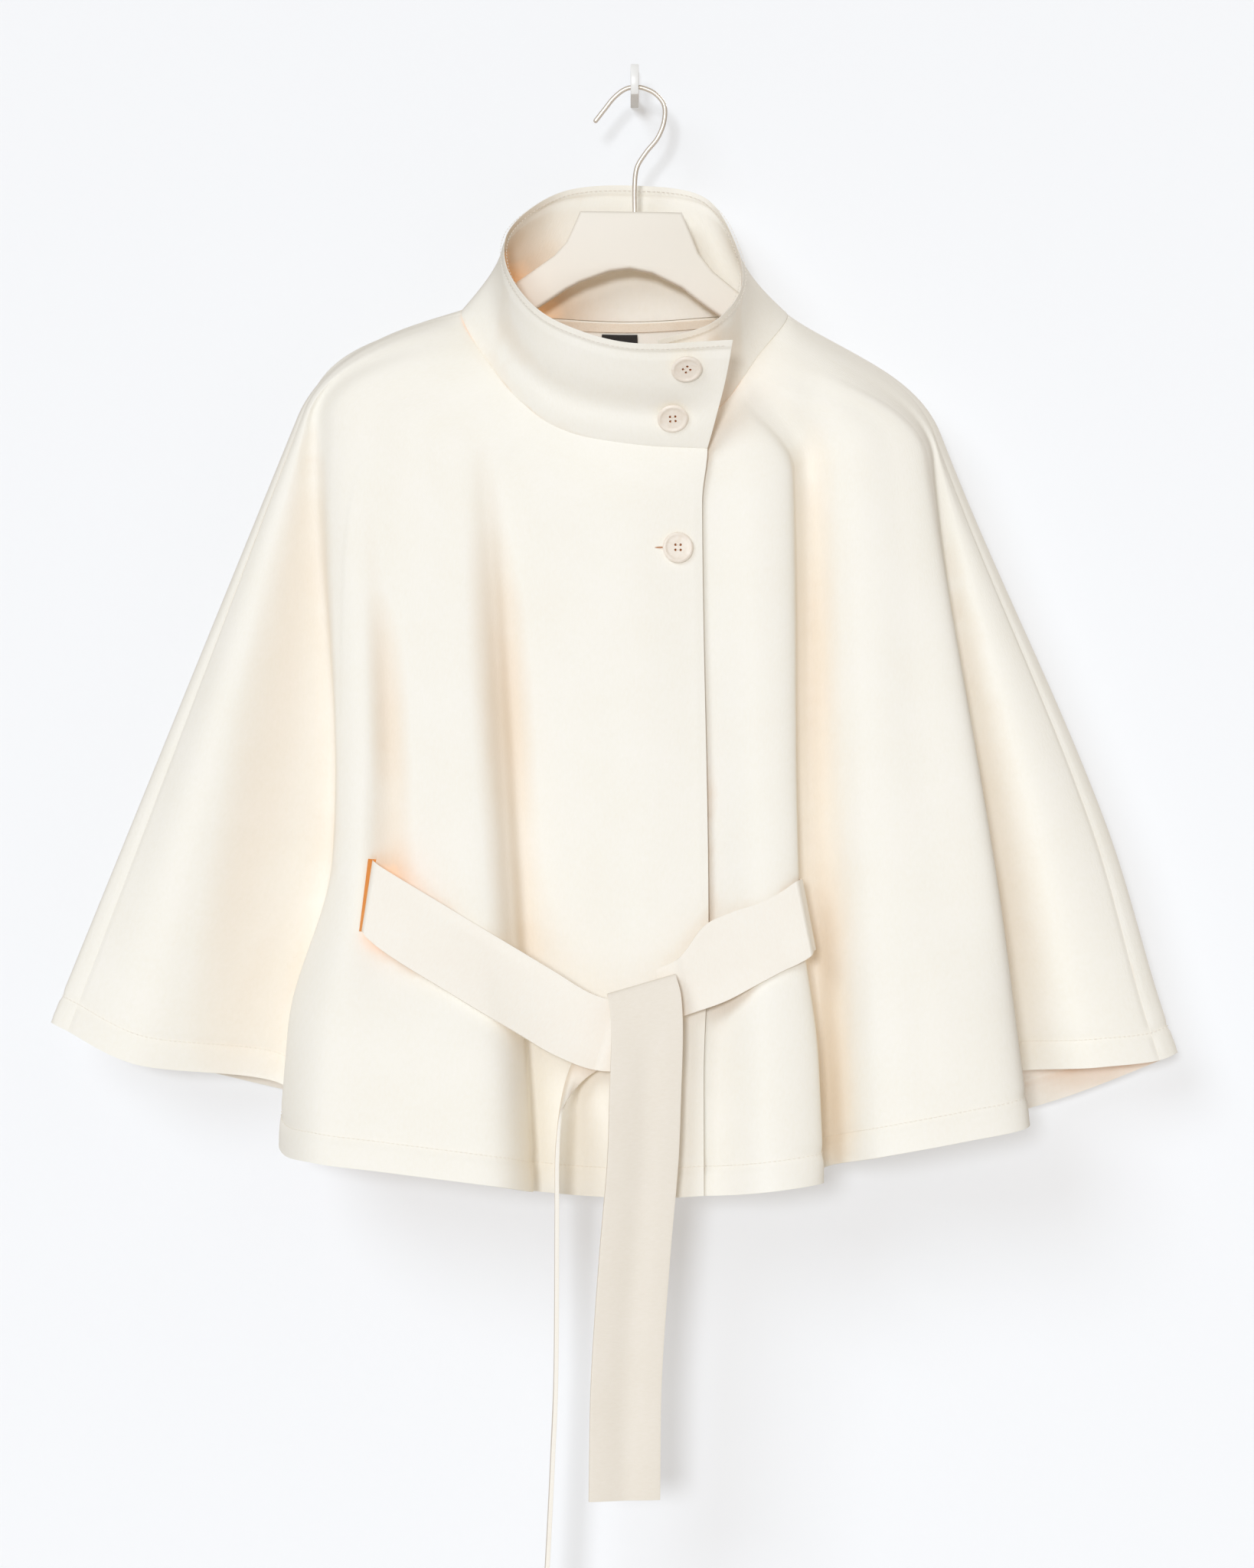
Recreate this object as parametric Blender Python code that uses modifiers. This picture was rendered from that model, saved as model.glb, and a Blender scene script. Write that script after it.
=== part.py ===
"""Belted wool cape with a funnel collar, buttoned, on a moulded hanger that hangs from a small wall hook.

The wall is the plane Y = 0 and the garment faces -Y. X = 0 and Z = 0 are at the bend of the wall hook.
Tables are in millimetres. "right" and "left" are the wearer's, so the right front is at -X.
"""

from collections import namedtuple
from math import cos, pi, radians, sin, sqrt, tan

import bmesh
import bpy
import numpy as np
from mathutils import Matrix, Vector
from mathutils.bvhtree import BVHTree

# Driving dimensions, millimetres
CLOTH = 2.5  # one layer of brushed wool
COLLAR_CLOTH = 4.4  # two layers, sewn and turned
BELT_CLOTH = 3.6
NECK_PART = 0.17  # share of each fall line between the neck seam and the yoke
WAIST = 0.61  # where the belt crosses, as a share of the way from yoke to hem
BUTTON_WIDTH = 23.0
BUTTON_THICK = 3.4
HANGER_PLANE = -60.0
HANGER_THICK = 11.0
WIRE = 3.5
HOOK_WIDTH = 6.0

for old in list(bpy.data.objects):
    bpy.data.objects.remove(old)

cape = bpy.data.collections.new("belted_cape")
cutters = bpy.data.collections.new("cutters")
for new in (cape, cutters):
    bpy.context.scene.collection.children.link(new)


def material(name, colour, roughness, metallic=0.0):
    made = bpy.data.materials.new(name)
    made.use_nodes = True
    shader = made.node_tree.nodes["Principled BSDF"]
    shader.inputs["Base Color"].default_value = (*colour, 1)
    shader.inputs["Roughness"].default_value = roughness
    shader.inputs["Metallic"].default_value = metallic
    made.diffuse_color = (*colour, 1)
    return made


WOOL = material("cream_wool", (0.92, 0.86, 0.77), 0.95)
TAPE = material("neck_tape", (0.88, 0.80, 0.68), 0.9)
LABEL = material("dark_label", (0.03, 0.025, 0.02), 0.8)
BUTTON = material("cream_button", (0.88, 0.81, 0.72), 0.4)
MOULDED = material("cream_hanger", (0.84, 0.78, 0.70), 0.55)
METAL = material("hook_wire", (0.72, 0.68, 0.62), 0.3, 0.9)
WHITE = material("white_hook", (0.86, 0.86, 0.85), 0.35)


def finish(obj, look, collection=cape, smooth=True):
    collection.objects.link(obj)
    obj.data.materials.append(look)
    if smooth:
        obj.data.shade_smooth()
        obj.data.set_sharp_from_angle(angle=radians(40))
    return obj


# The collar, from its lapped end at the front round the wearer's right side, the back and the left side to its hidden end
Band = namedtuple("Band", "name sx sy sz rx ry rz fall bulge")  # seam, rim, slope of the panel at the seam, outward bulge
COLLAR = [
    Band("over_end", 53, -115, -276, 71, -158, -200, 86, 2),
    Band("front_centre", -1, -115, -273, -1, -163, -203, 86, 2),
    Band("front", -52, -108, -263, -49, -154, -190, 84, 1),
    Band("right_chest", -83, -99, -243, -79, -138, -170, 70, 0),
    Band("right_front", -110, -83, -211, -98, -108, -137, 42, -3),
    Band("right_side", -132, -60, -170, -93, -74, -105, 12, -6),
    Band("back_right", -103, -38, -169, -56, -41, -76, 48, -3),
    Band("back", -6, -29, -174, -1, -30, -70, 84, 1),
    Band("back_left", 84, -38, -169, 51, -42, -80, 53, -4),
    Band("left_side", 114, -60, -172, 74, -72, -117, 34, -8),
    Band("left_front", 91, -84, -205, 79, -102, -154, 44, -6),
    Band("under_front", 60, -101, -246, 57, -130, -184, 74, 0),
    Band("under_end", 16, -105, -268, 16, -147, -199, 84, 2),
]

# The fall lines of the cloth, in the same order round the garment: where each leaves the neck seam (counted in
# rows of the table above), its yoke point, its hem point, how far it is moved sideways and towards the wall at the
# belt, and the share of the way down where that move ends
Line = namedtuple("Line", "name neck yx yy yz hx hy hz wx wy free")
LINES = [
    Line("front_edge", 0.0, 49, -115, -317, 50, -139, -832, 4, 4, 0.84),
    Line("centre_panel", 1.0, -1, -121, -325, 12, -138, -834, 0, 6, 0.84),
    Line("centre_hollow", 2.0, -55, -114, -319, -41, -112, -834, 0, 4, 0.84),
    Line("right_fold_under", 2.5, -93, -104, -307, -76, -98, -832, 2, 2, 0.84),
    Line("right_fold_edge", 2.8, -112, -105, -299, -79, -138, -829, -2, 12, 0.84),
    Line("right_fold_crest", 3.2, -127, -106, -288, -101, -168, -823, 0, 18, 0.84),
    Line("right_fold_dip", 3.7, -172, -93, -269, -186, -158, -813, -4, 24, 0.84),
    Line("right_fold_side", 4.1, -202, -93, -258, -238, -148, -807, 16, 14, 0.84),
    Line("right_fold_turn", 4.4, -225, -86, -253, -266, -104, -800, 24, 2, 0.84),
    Line("right_arm_hollow", 4.6, -242, -70, -253, -264, -53, -758, 4, -2, 1.0),
    Line("right_arm", 4.8, -250, -72, -252, -358, -90, -740, 0, -8, 1.0),
    Line("right_seam", 4.93, -252, -64, -247, -430, -60, -714, 0, 0, 1.0),
    Line("right_edge", 5.05, -256, -58, -249, -443, -57, -708, 0, 0, 1.0),
    Line("back_right_turn", 5.17, -252, -47, -243, -431, -43, -711, 0, 0, 1.0),
    Line("back_right_arm", 5.4, -238, -38, -228, -357, -34, -738, 0, 0, 1.0),
    Line("back_right_fold", 5.9, -182, -27, -232, -241, -18, -768, 0, -4, 1.0),
    Line("back_right_hollow", 6.4, -106, -25, -255, -129, -34, -794, 0, 0, 1.0),
    Line("back_centre", 7.0, -6, -24, -261, -18, -18, -806, 0, -5, 1.0),
    Line("back_left_hollow", 7.6, 70, -25, -255, 99, -34, -800, 0, 0, 1.0),
    Line("back_left_fold", 8.1, 146, -27, -238, 211, -18, -796, 0, -4, 1.0),
    Line("back_left_arm", 8.6, 204, -37, -243, 321, -34, -768, 4, 0, 1.0),
    Line("back_left_turn", 8.84, 224, -47, -255, 402, -43, -736, 11, 0, 1.0),
    Line("left_edge", 8.95, 230, -59, -262, 410, -57, -731, 12, 0, 1.0),
    Line("left_seam", 9.07, 225, -64, -262, 396, -60, -736, 12, 0, 1.0),
    Line("left_arm", 9.2, 227, -71, -273, 347, -74, -741, 8, -4, 1.0),
    Line("left_arm_hollow", 9.4, 224, -73, -282, 276, -56, -748, 6, -2, 1.0),
    Line("left_fold_turn", 9.6, 220, -83, -283, 284, -104, -772, 4, 0, 1.0),
    Line("left_fold_edge", 9.75, 214, -91, -281, 288, -148, -781, 4, 3, 1.0),
    Line("left_fold_crest", 9.95, 192, -96, -278, 242, -164, -790, 0, 8, 0.84),
    Line("left_fold_side", 10.15, 163, -99, -278, 180, -158, -802, 0, 8, 0.84),
    Line("valley", 10.35, 127, -86, -286, 141, -92, -815, -4, 0, 0.84),
    Line("front_fold_under", 10.5, 119, -92, -290, 132, -108, -821, -10, 2, 0.84),
    Line("front_fold_edge", 10.65, 113, -106, -296, 136, -150, -822, -7, 6, 0.84),
    Line("front_fold_crest", 10.85, 88, -112, -305, 98, -164, -827, 0, 10, 0.84),
    Line("front_under_start", 11.2, 59, -109, -313, 58, -137, -832, 0, 8, 0.84),
    Line("underlap", 11.6, 22, -108, -319, 16, -127, -832, 0, 5, 0.84),
    Line("under_edge", 12.0, -9, -108, -319, -15, -123, -831, 0, 3, 0.84),
]
AT = {line.name: i for i, line in enumerate(LINES)}


def through(knots, rows, t):
    """The smooth curve that passes each row at its knot."""
    rows, knots = np.asarray(rows, float), np.asarray(knots, float)
    steps = np.diff(knots)
    slopes = np.diff(rows, axis=0) / steps[:, None]
    inner = (slopes[:-1] * steps[1:, None] + slopes[1:] * steps[:-1, None]) / (steps[:-1] + steps[1:])[:, None]
    tangents = np.concatenate([slopes[:1], inner, slopes[-1:]])
    i = int(np.clip(np.searchsorted(knots, t, side="right") - 1, 0, len(steps) - 1))
    h, q = steps[i], (t - knots[i]) / steps[i]
    return (
        rows[i] * (2 * q**3 - 3 * q**2 + 1)
        + tangents[i] * h * (q**3 - 2 * q**2 + q)
        + rows[i + 1] * (3 * q**2 - 2 * q**3)
        + tangents[i + 1] * h * (q**3 - q**2)
    )


COLLAR_KNOTS = range(len(COLLAR))
COLLAR_ROWS = [row[1:] for row in COLLAR]


def collar_point(s, t):
    """A point of the collar's middle surface: s runs round it in rows of COLLAR, t from 0 at the seam to 1 at the rim."""
    row = through(COLLAR_KNOTS, COLLAR_ROWS, s)
    seam, rim = row[:3], row[3:6]
    out = seam - np.array([-6, -62, seam[2]])
    out[2] = 0
    return seam + (rim - seam) * t + out / np.linalg.norm(out) * row[7] * sin(pi * t)


def outward(s):
    """The level direction away from the neck, at s along the seam."""
    along = collar_point(min(s + 0.02, 12), 0) - collar_point(max(s - 0.02, 0), 0)
    out = np.array([along[1], -along[0], 0.0])
    return -out / np.linalg.norm(out)


def line_point(line, v):
    """A point of one fall line: v is 0 at the neck seam, NECK_PART at the yoke and 1 at the hem."""
    yoke = np.array([line.yx, line.yy, line.yz], float)
    hem = np.array([line.hx, line.hy, line.hz], float)
    if v >= NECK_PART:
        w = (v - NECK_PART) / (1 - NECK_PART)
        turn = w / WAIST if w < WAIST else 1 + min((w - WAIST) / (line.free - WAIST), 1)
        return yoke + (hem - yoke) * w + np.array([line.wx, line.wy, 0]) * sin(pi / 2 * turn) ** 2
    seam = collar_point(line.neck, 0)
    fall = radians(through(COLLAR_KNOTS, COLLAR_ROWS, line.neck)[6])
    leave = outward(line.neck) * cos(fall) - np.array([0, 0, sin(fall)])
    stand = collar_point(line.neck, 0.15) - seam
    angle = np.arccos(np.clip(leave @ stand / np.linalg.norm(stand), -1, 1))
    seam = seam + leave * (0.85 + 1.75 * COLLAR_CLOTH / 2 / tan(angle / 2))
    reach = np.linalg.norm(yoke - seam)
    down = (hem - yoke) / np.linalg.norm(hem - yoke)
    q = v / NECK_PART
    return (
        seam * (2 * q**3 - 3 * q**2 + 1)
        + leave * reach * (q**3 - 2 * q**2 + q)
        + yoke * (3 * q**2 - 2 * q**3)
        + down * reach * (q**3 - q**2)
    )


# Spacing the fall lines by the root of their distance at the hem keeps the curve across them free of loops
HEM_STEPS = [
    sqrt(sqrt((a.hx - b.hx) ** 2 + (a.hy - b.hy) ** 2 + (a.hz - b.hz) ** 2)) for a, b in zip(LINES, LINES[1:])
]
LINE_KNOTS = np.concatenate([[0], np.cumsum(HEM_STEPS)])


def body_point(s, v):
    """A point of the cape's middle surface: s counts the rows of LINES, v runs from neck seam to hem."""
    i = min(int(s), len(LINES) - 2)
    low, high = max(i - 1, 0), min(i + 3, len(LINES))
    rows = [line_point(line, v) for line in LINES[low:high]]
    knots = LINE_KNOTS[low:high]
    return through(knots, rows, LINE_KNOTS[i] + (s - i) * (LINE_KNOTS[i + 1] - LINE_KNOTS[i]))


def facing(surface, s, t, away):
    """The unit normal of a surface, turned to the same side as the direction `away`."""
    e = 0.01
    across = surface(s + e, t) - surface(s - e, t)
    up = surface(s, min(t + e, 1)) - surface(s, max(t - e, 0))
    normal = np.cross(across, up)
    normal /= np.linalg.norm(normal)
    return normal if normal @ np.asarray(away, float) > 0 else -normal


def sheet(name, points, thick, look, smooth=True):
    """An even cloth, from a grid of the points of its middle surface."""
    rows, columns = len(points) - 1, len(points[0]) - 1
    bm = bmesh.new()
    bmesh.ops.create_grid(bm, x_segments=columns, y_segments=rows, size=0.5)
    for vertex in bm.verts:
        column, row = round((vertex.co.x + 0.5) * columns), round((vertex.co.y + 0.5) * rows)
        vertex.co = Vector(points[row][column]) / 1000
    mesh = bpy.data.meshes.new(name)
    bm.to_mesh(mesh)
    bm.free()
    obj = finish(bpy.data.objects.new(name, mesh), look, smooth=smooth)
    shell = obj.modifiers.new("cloth", "SOLIDIFY")
    shell.thickness = thick / 1000
    shell.offset = 0
    shell.use_even_offset = True
    shell.thickness_clamp = 0.9
    return obj


def spread(first, last, per_row):
    count = round((last - first) * per_row)
    return [first + (last - first) * i / count for i in range(count + 1)]


def falls(neck_steps, body_steps):
    return [NECK_PART * i / neck_steps for i in range(neck_steps)] + [
        NECK_PART + (1 - NECK_PART) * i / body_steps for i in range(body_steps + 1)
    ]


def panel(name, first, last, per_line, neck_steps, body_steps, inset):
    """One cut piece of the cape between two fall lines, inset from both by half of the seam's gap."""
    stations = spread(AT[first], AT[last], per_line)
    grid = []
    for v in falls(neck_steps, body_steps):
        row = [body_point(s, v) for s in stations]
        for end, beside in ((0, 1), (-1, -2)):
            step = row[beside] - row[end]
            row[end] = row[end] + step / np.linalg.norm(step) * inset[end]
        grid.append(row)
    return sheet(name, grid, CLOTH, WOOL)


right_front = panel("right_front", "front_edge", "right_seam", 3, 6, 14, (0, 0.45))
left_front = panel("left_front", "left_seam", "under_edge", 3, 6, 14, (0.45, 0))
back = panel("back", "right_seam", "left_seam", 2.5, 6, 10, (0.45, 0.45))
collar = sheet(
    "collar",
    [[collar_point(s, t) for s in spread(0, len(COLLAR) - 1, 4)] for t in np.linspace(0, 1, 5)],
    COLLAR_CLOTH,
    WOOL,
)


def cutter(name, size, centre, turns):
    bm = bmesh.new()
    bmesh.ops.create_cube(bm, size=1.0, matrix=Matrix.Diagonal((*[side / 1000 for side in size], 1)))
    mesh = bpy.data.meshes.new(name)
    bm.to_mesh(mesh)
    bm.free()
    obj = bpy.data.objects.new(name, mesh)
    cutters.objects.link(obj)
    obj.location = Vector(centre) / 1000
    obj.rotation_euler = [radians(turn) for turn in turns]
    obj.hide_render = True
    obj.display_type = "WIRE"
    return obj


def cut(obj, tool):
    step = obj.modifiers.new(tool.name, "BOOLEAN")
    step.operation = "DIFFERENCE"
    step.object = tool


# The two belt slits, through the fronts
SLIT_WIDE, SLIT_TALL = 6.4, 59.0
right_slit = cutter("right_slit", (SLIT_WIDE, 40, SLIT_TALL), (-200.5, -118, -610), (0, 8.6, 0))
left_slit = cutter("left_slit", (24, SLIT_WIDE, SLIT_TALL), (121, -119, -623), (0, -11, 0))
cut(right_front, right_slit)
cut(left_front, left_slit)


def seen_mesh(obj):
    """The points and faces of an object with its modifiers applied."""
    bpy.context.view_layer.update()
    shown = obj.evaluated_get(bpy.context.evaluated_depsgraph_get())
    mesh = shown.to_mesh()
    points, faces = [v.co.copy() for v in mesh.vertices], [tuple(p.vertices) for p in mesh.polygons]
    shown.to_mesh_clear()
    return points, faces


def tree_of(*objects):
    points, faces = [], []
    for obj in objects:
        more, sides = seen_mesh(obj)
        faces += [tuple(i + len(points) for i in side) for side in sides]
        points += more
    return BVHTree.FromPolygons(points, faces)


FRONTS = tree_of(right_front, left_front)
REST = 0.5  # clear of the cloth below, millimetres


def front_of(x, z, reach=3.0):
    """The Y of the foremost cloth about a point of the front."""
    found = []
    for dx in (-reach, 0, reach):
        for dz in (-reach, 0, reach):
            hit = FRONTS.ray_cast(Vector((x + dx, -1000, z + dz)) / 1000, Vector((0, 1, 0)))[0]
            if hit:
                found.append(hit.y * 1000)
    return min(found, default=0.0)


def taut(distances, limits):
    """A line drawn tight from the first to the last point, never behind the limits."""
    hull = []
    for point in zip(distances, limits):
        while len(hull) > 1:
            (a, b), (c, d) = hull[-2:]
            if (d - b) * (point[0] - a) >= (point[1] - b) * (c - a):
                hull.pop()
            else:
                break
        hull.append(point)
    return np.interp(distances, *zip(*hull))


def strip(name, rungs, per_rung, across, look=WOOL, lie=None, thick=BELT_CLOTH):
    """A band of cloth between two edges. A rung is its upper or left point, then its lower or right point.

    Between the two rungs of `lie` it is drawn tight over the cloth of the fronts.
    """
    stations = spread(0, len(rungs) - 1, per_rung)
    rungs = np.array(rungs, float)
    rows = [through(range(len(rungs)), rungs, s) for s in stations]
    grid = [[row[:3] + (row[3:] - row[:3]) * j / across for row in rows] for j in range(across + 1)]
    if lie:
        laid = [i for i, s in enumerate(stations) if lie[0] <= s <= lie[1]]
        for line in grid:
            length = np.concatenate([[0], np.cumsum([np.linalg.norm((line[b] - line[a])[::2]) for a, b in zip(laid, laid[1:])])])
            limits = [min(front_of(line[i][0], line[i][2]) - thick / 2 - REST, line[i][1]) for i in laid]
            for i, y in zip(laid, taut(length, limits)):
                line[i] = np.array([line[i][0], y, line[i][2]])
    return sheet(name, grid, thick, look)


belt_right_run = strip(
    "belt_run_right",
    [
        (-196.6, -104, -584, -204.6, -104, -636.4),
        (-196.6, -111, -584, -204.6, -111, -636.4),
        (-196.4, -118.5, -584, -204.4, -118.5, -636.4),
        (-195.2, -124, -584.6, -203.2, -130.5, -636.8),
        (-190.5, -126, -587.5, -200.5, -133.5, -638.8),
        (-175, -124, -597.7, -192, -128, -648),
        (-150, -100, -612.5, -174, -100, -660),
        (-120, -100, -630.4, -147, -100, -676),
        (-90, -100, -648.2, -117, -100, -693.7),
        (-60, -100, -666, -87, -100, -711.5),
        (-34, -100, -681.5, -61, -100, -727),
        (-14, -147.5, -686.5, -30, -144, -738.5),
        (8, -147.3, -685, 4, -144, -738),
    ],
    2.5,
    5,
    lie=(4, 11),
)
belt_left_run = strip(
    "belt_run_left",
    [
        (102.2, -114.5, -596, 112.2, -114.5, -648),
        (109, -118, -596.4, 119, -118, -648.4),
        (116, -119, -596.8, 126, -119, -648.8),
        (121.3, -120.5, -597, 131.3, -120.5, -649.2),
        (123.3, -126, -597.4, 133.3, -126, -650),
        (121.5, -133, -598, 131.5, -133.5, -651),
        (117, -139, -600, 128.5, -142, -655),
        (106, -130, -607.5, 119, -130, -660.5),
        (90, -130, -615.5, 108, -130, -665.5),
        (70, -130, -622, 88, -130, -676),
        (50, -130, -632, 66, -130, -687.5),
        (32, -147.1, -655, 42, -147.1, -696),
        (14, -147.1, -664, 20, -147.1, -703),
    ],
    2.5,
    5,
    lie=(6, 11),
)
belt_inside = strip(
    "belt_inside",
    [
        (-196.6, -103.6, -584, -204.6, -103.6, -636.4),
        (-194, -88, -588, -200, -88, -640),
        (-178, -70, -600, -180, -68, -652.5),
        (-120, -55, -622, -120, -52, -675),
        (-20, -50, -638, -20, -46, -691),
        (52, -56, -626, 52, -53, -679),
        (80, -82, -610, 84, -80, -663),
        (88, -103, -599, 97, -103, -651.5),
        (93, -112, -596.5, 103, -112, -648.5),
        (100.7, -114, -596, 110.7, -114, -648),
    ],
    2,
    3,
)
belt_wide_tail = strip(
    "belt_tail_wide",
    [
        (-20.5, -152, -688, 29.5, -152, -674),
        (-21.6, -153, -683.5, 28.5, -153, -668.5),
        (-21.6, -156.5, -681.5, 28.5, -156.5, -667),
        (-21.2, -160, -684, 29.5, -160, -669.5),
        (-19.5, -162, -695, 33, -162, -684),
        (-18.6, -163.5, -716, 34, -163.5, -712),
        (-20, -166, -760, 32.5, -166, -759),
        (-21.6, -169, -806, 30.5, -169, -806),
        (-27.5, -168, -876, 24.5, -168, -876),
        (-33.4, -166, -966, 18.4, -166, -966),
        (-35, -163, -1054, 17.2, -163, -1054),
    ],
    2,
    4,
)
belt_knot = strip(
    "belt_knot",
    [
        (-14, -135.5, -690, 31, -142, -678),
        (-14, -135, -702, 31, -142, -698),
        (-14, -135, -722, 31, -142.5, -722),
        (-14, -136.5, -738, 31, -144, -738),
        (-14, -140.5, -744.5, 31, -147, -744.5),
        (-14, -147, -745, 31, -151, -745),
        (-14, -152, -738, 31, -155, -738),
    ],
    2,
    4,
)
belt_narrow_tail = strip(
    "belt_tail_narrow",
    [
        (-13.2, -130.9, -704, -13.8, -131.3, -733),
        (-31, -130.5, -711, -33, -131, -742),
        (-44, -126, -728, -45.5, -137.5, -753),
        (-52, -124, -748, -52.5, -157, -763),
        (-56.7, -123, -772, -56, -172.5, -772),
        (-59.2, -123, -802, -58, -175.8, -802),
        (-59.5, -122, -850, -58.2, -175, -850),
        (-60.2, -121, -960, -58.8, -174, -960),
        (-62.5, -120.5, -1022, -61.2, -173.5, -1022),
        (-65, -120, -1076, -63.8, -173, -1076),
        (-68, -119.5, -1130, -66.8, -172.5, -1130),
    ],
    2,
    3,
)


def settle(surface, s, t, x, z):
    """The place on a surface that lies at x and z, near the place s, t."""
    for _ in range(12):
        here = surface(s, t)[::2]
        step = 0.004
        side = (surface(s + step, t)[::2] - here) / step
        rise = (surface(s, t + step)[::2] - here) / step
        ds, dt = np.linalg.solve(np.array([side, rise]).T, np.array([x, z]) - here)
        s, t = s + float(np.clip(ds, -0.5, 0.5)), t + float(np.clip(dt, -0.2, 0.2))
    return s, t


Disc = namedtuple("Disc", "name surface s t x z turn")
BUTTONS = [
    Disc("button_collar_top", collar_point, 0.6, 0.75, 36.5, -219.0, 40),
    Disc("button_collar_low", collar_point, 0.6, 0.35, 26.8, -253.9, 5),
    Disc("button_front", body_point, 0.4, 0.2, 30.6, -351.0, 0),
]


def turned(name, profile, steps, look):
    """A round piece from a profile at +X that runs down its outer side, its axis on Z."""
    mesh = bpy.data.meshes.new(name)
    mesh.from_pydata([(r / 1000, 0, h / 1000) for r, h in profile], [(i, i + 1) for i in range(len(profile) - 1)], [])
    obj = finish(bpy.data.objects.new(name, mesh), look)
    screw = obj.modifiers.new("turned", "SCREW")
    screw.steps = screw.render_steps = steps
    screw.use_merge_vertices = True
    screw.merge_threshold = 0.0001
    return obj


half = BUTTON_WIDTH / 2
for disc in BUTTONS:
    button = turned(
        disc.name,
        [(0, 2.0), (half - 4.2, 2.1), (half - 3.0, BUTTON_THICK), (half - 1.0, BUTTON_THICK), (half, 1.9), (half - 1.2, 0.4), (half - 4, 0), (0, 0)],
        24,
        BUTTON,
    )
    s, t = settle(disc.surface, disc.s, disc.t, disc.x, disc.z)
    thick = COLLAR_CLOTH if disc.surface is collar_point else CLOTH
    normal = facing(disc.surface, s, t, (0, -1, 0))
    centre = disc.surface(s, t) + normal * (thick / 2 + 0.35)
    up = Vector((0, 0, 1)) - Vector(normal) * normal[2]
    frame = Matrix((up.normalized().cross(Vector(normal)), up.normalized(), normal)).transposed()
    button.matrix_world = Matrix.Translation(Vector(centre) / 1000) @ frame.to_4x4() @ Matrix.Rotation(radians(disc.turn), 4, "Z")
    bm = bmesh.new()
    for a in range(4):
        place = Matrix.Translation(Vector((cos(pi / 4 + a * pi / 2), sin(pi / 4 + a * pi / 2), 0.6)) * 0.0029)
        bmesh.ops.create_cone(bm, cap_ends=True, segments=8, radius1=0.001, radius2=0.001, depth=0.012, matrix=place)
    mesh = bpy.data.meshes.new(disc.name + "_holes")
    bm.to_mesh(mesh)
    bm.free()
    tool = bpy.data.objects.new(disc.name + "_holes", mesh)
    cutters.objects.link(tool)
    tool.matrix_world = button.matrix_world
    tool.hide_render = True
    tool.display_type = "WIRE"
    cut(button, tool)


def flat_between(s, v):
    """A point of the back's middle surface, straight between its rows of points."""
    rows = falls(6, 10)
    i = min(int(np.searchsorted(rows, v, side="right")) - 1, len(rows) - 2)
    i = max(i, 0)
    share = (v - rows[i]) / (rows[i + 1] - rows[i])
    return body_point(s, rows[i]) * (1 - share) + body_point(s, rows[i + 1]) * share


def patch(name, first, last, high, low, thick, columns, look):
    """A flat piece sewn on the inside of the back, between two places along the seam and two down the cloth."""
    grid = []
    for v in np.linspace(high, low, 3):
        row = []
        for s in np.linspace(first, last, columns + 1):
            inner = facing(flat_between, s, v, (0, -1, 0))
            row.append(flat_between(s, v) + inner * (CLOTH / 2 + 0.8 + thick / 2))
        grid.append(row)
    return sheet(name, grid, thick, look)


neck_tape = patch("neck_tape", AT["back_right_hollow"] - 0.6, AT["back_left_hollow"] + 0.6, 0.002, 0.0155, 0.8, 8, TAPE)
label_s = AT["back_centre"] - 0.1
neck_label = patch("neck_label", label_s - 0.21, label_s + 0.21, 0.0185, 0.044, 0.8, 4, LABEL)

# The hanger: its outline from the plateau under the hook out to both arms, at the X of each row
Arm = namedtuple("Arm", "x top bottom")
HANGER = [
    Arm(-231, -230, -240),
    Arm(-222, -220, -243),
    Arm(-205, -209.5, -233),
    Arm(-185, -199.5, -223.5),
    Arm(-165, -191, -215.5),
    Arm(-146, -184.5, -207.5),
    Arm(-130, -180.7, -200.5),
    Arm(-112, -165.5, -189),
    Arm(-94, -149.5, -178),
    Arm(-76, -137, -167.5),
    Arm(-62, -127, -158.5),
    Arm(-53, -117, -152.5),
    Arm(-47, -104, -149.5),
    Arm(-42.5, -93.5, -147),
    Arm(-20, -93.7, -139),
    Arm(-5, -93.9, -137),
    Arm(12, -94.1, -140.5),
    Arm(34.5, -94.5, -151.5),
    Arm(40, -107, -156),
    Arm(47, -125, -161.5),
    Arm(58, -139, -169.5),
    Arm(75, -153, -181),
    Arm(93, -167, -194),
    Arm(112, -181, -207),
    Arm(132, -194.5, -219.5),
    Arm(151, -207, -231.5),
    Arm(170, -219, -243),
    Arm(189, -232, -255),
    Arm(205, -245, -266),
    Arm(213, -254, -264),
]
outline = bpy.data.curves.new("hanger", "CURVE")
outline.dimensions = "2D"
outline.fill_mode = "BOTH"
outline.extrude = (HANGER_THICK / 2 - 1.5) / 1000
outline.bevel_depth = 0.0015
outline.offset = -0.0015
outline.bevel_resolution = 1
loop = [(row.x, row.top) for row in HANGER] + [(row.x, row.bottom) for row in reversed(HANGER)]
edge = outline.splines.new("POLY")
edge.points.add(len(loop) - 1)
edge.use_cyclic_u = True
for point, (x, z) in zip(edge.points, loop):
    point.co = (x / 1000, z / 1000, 0, 1)
hanger = finish(bpy.data.objects.new("hanger", outline), MOULDED, smooth=False)
hanger.location = (0, HANGER_PLANE / 1000, 0)
hanger.rotation_euler = (pi / 2, 0, 0)


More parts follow.
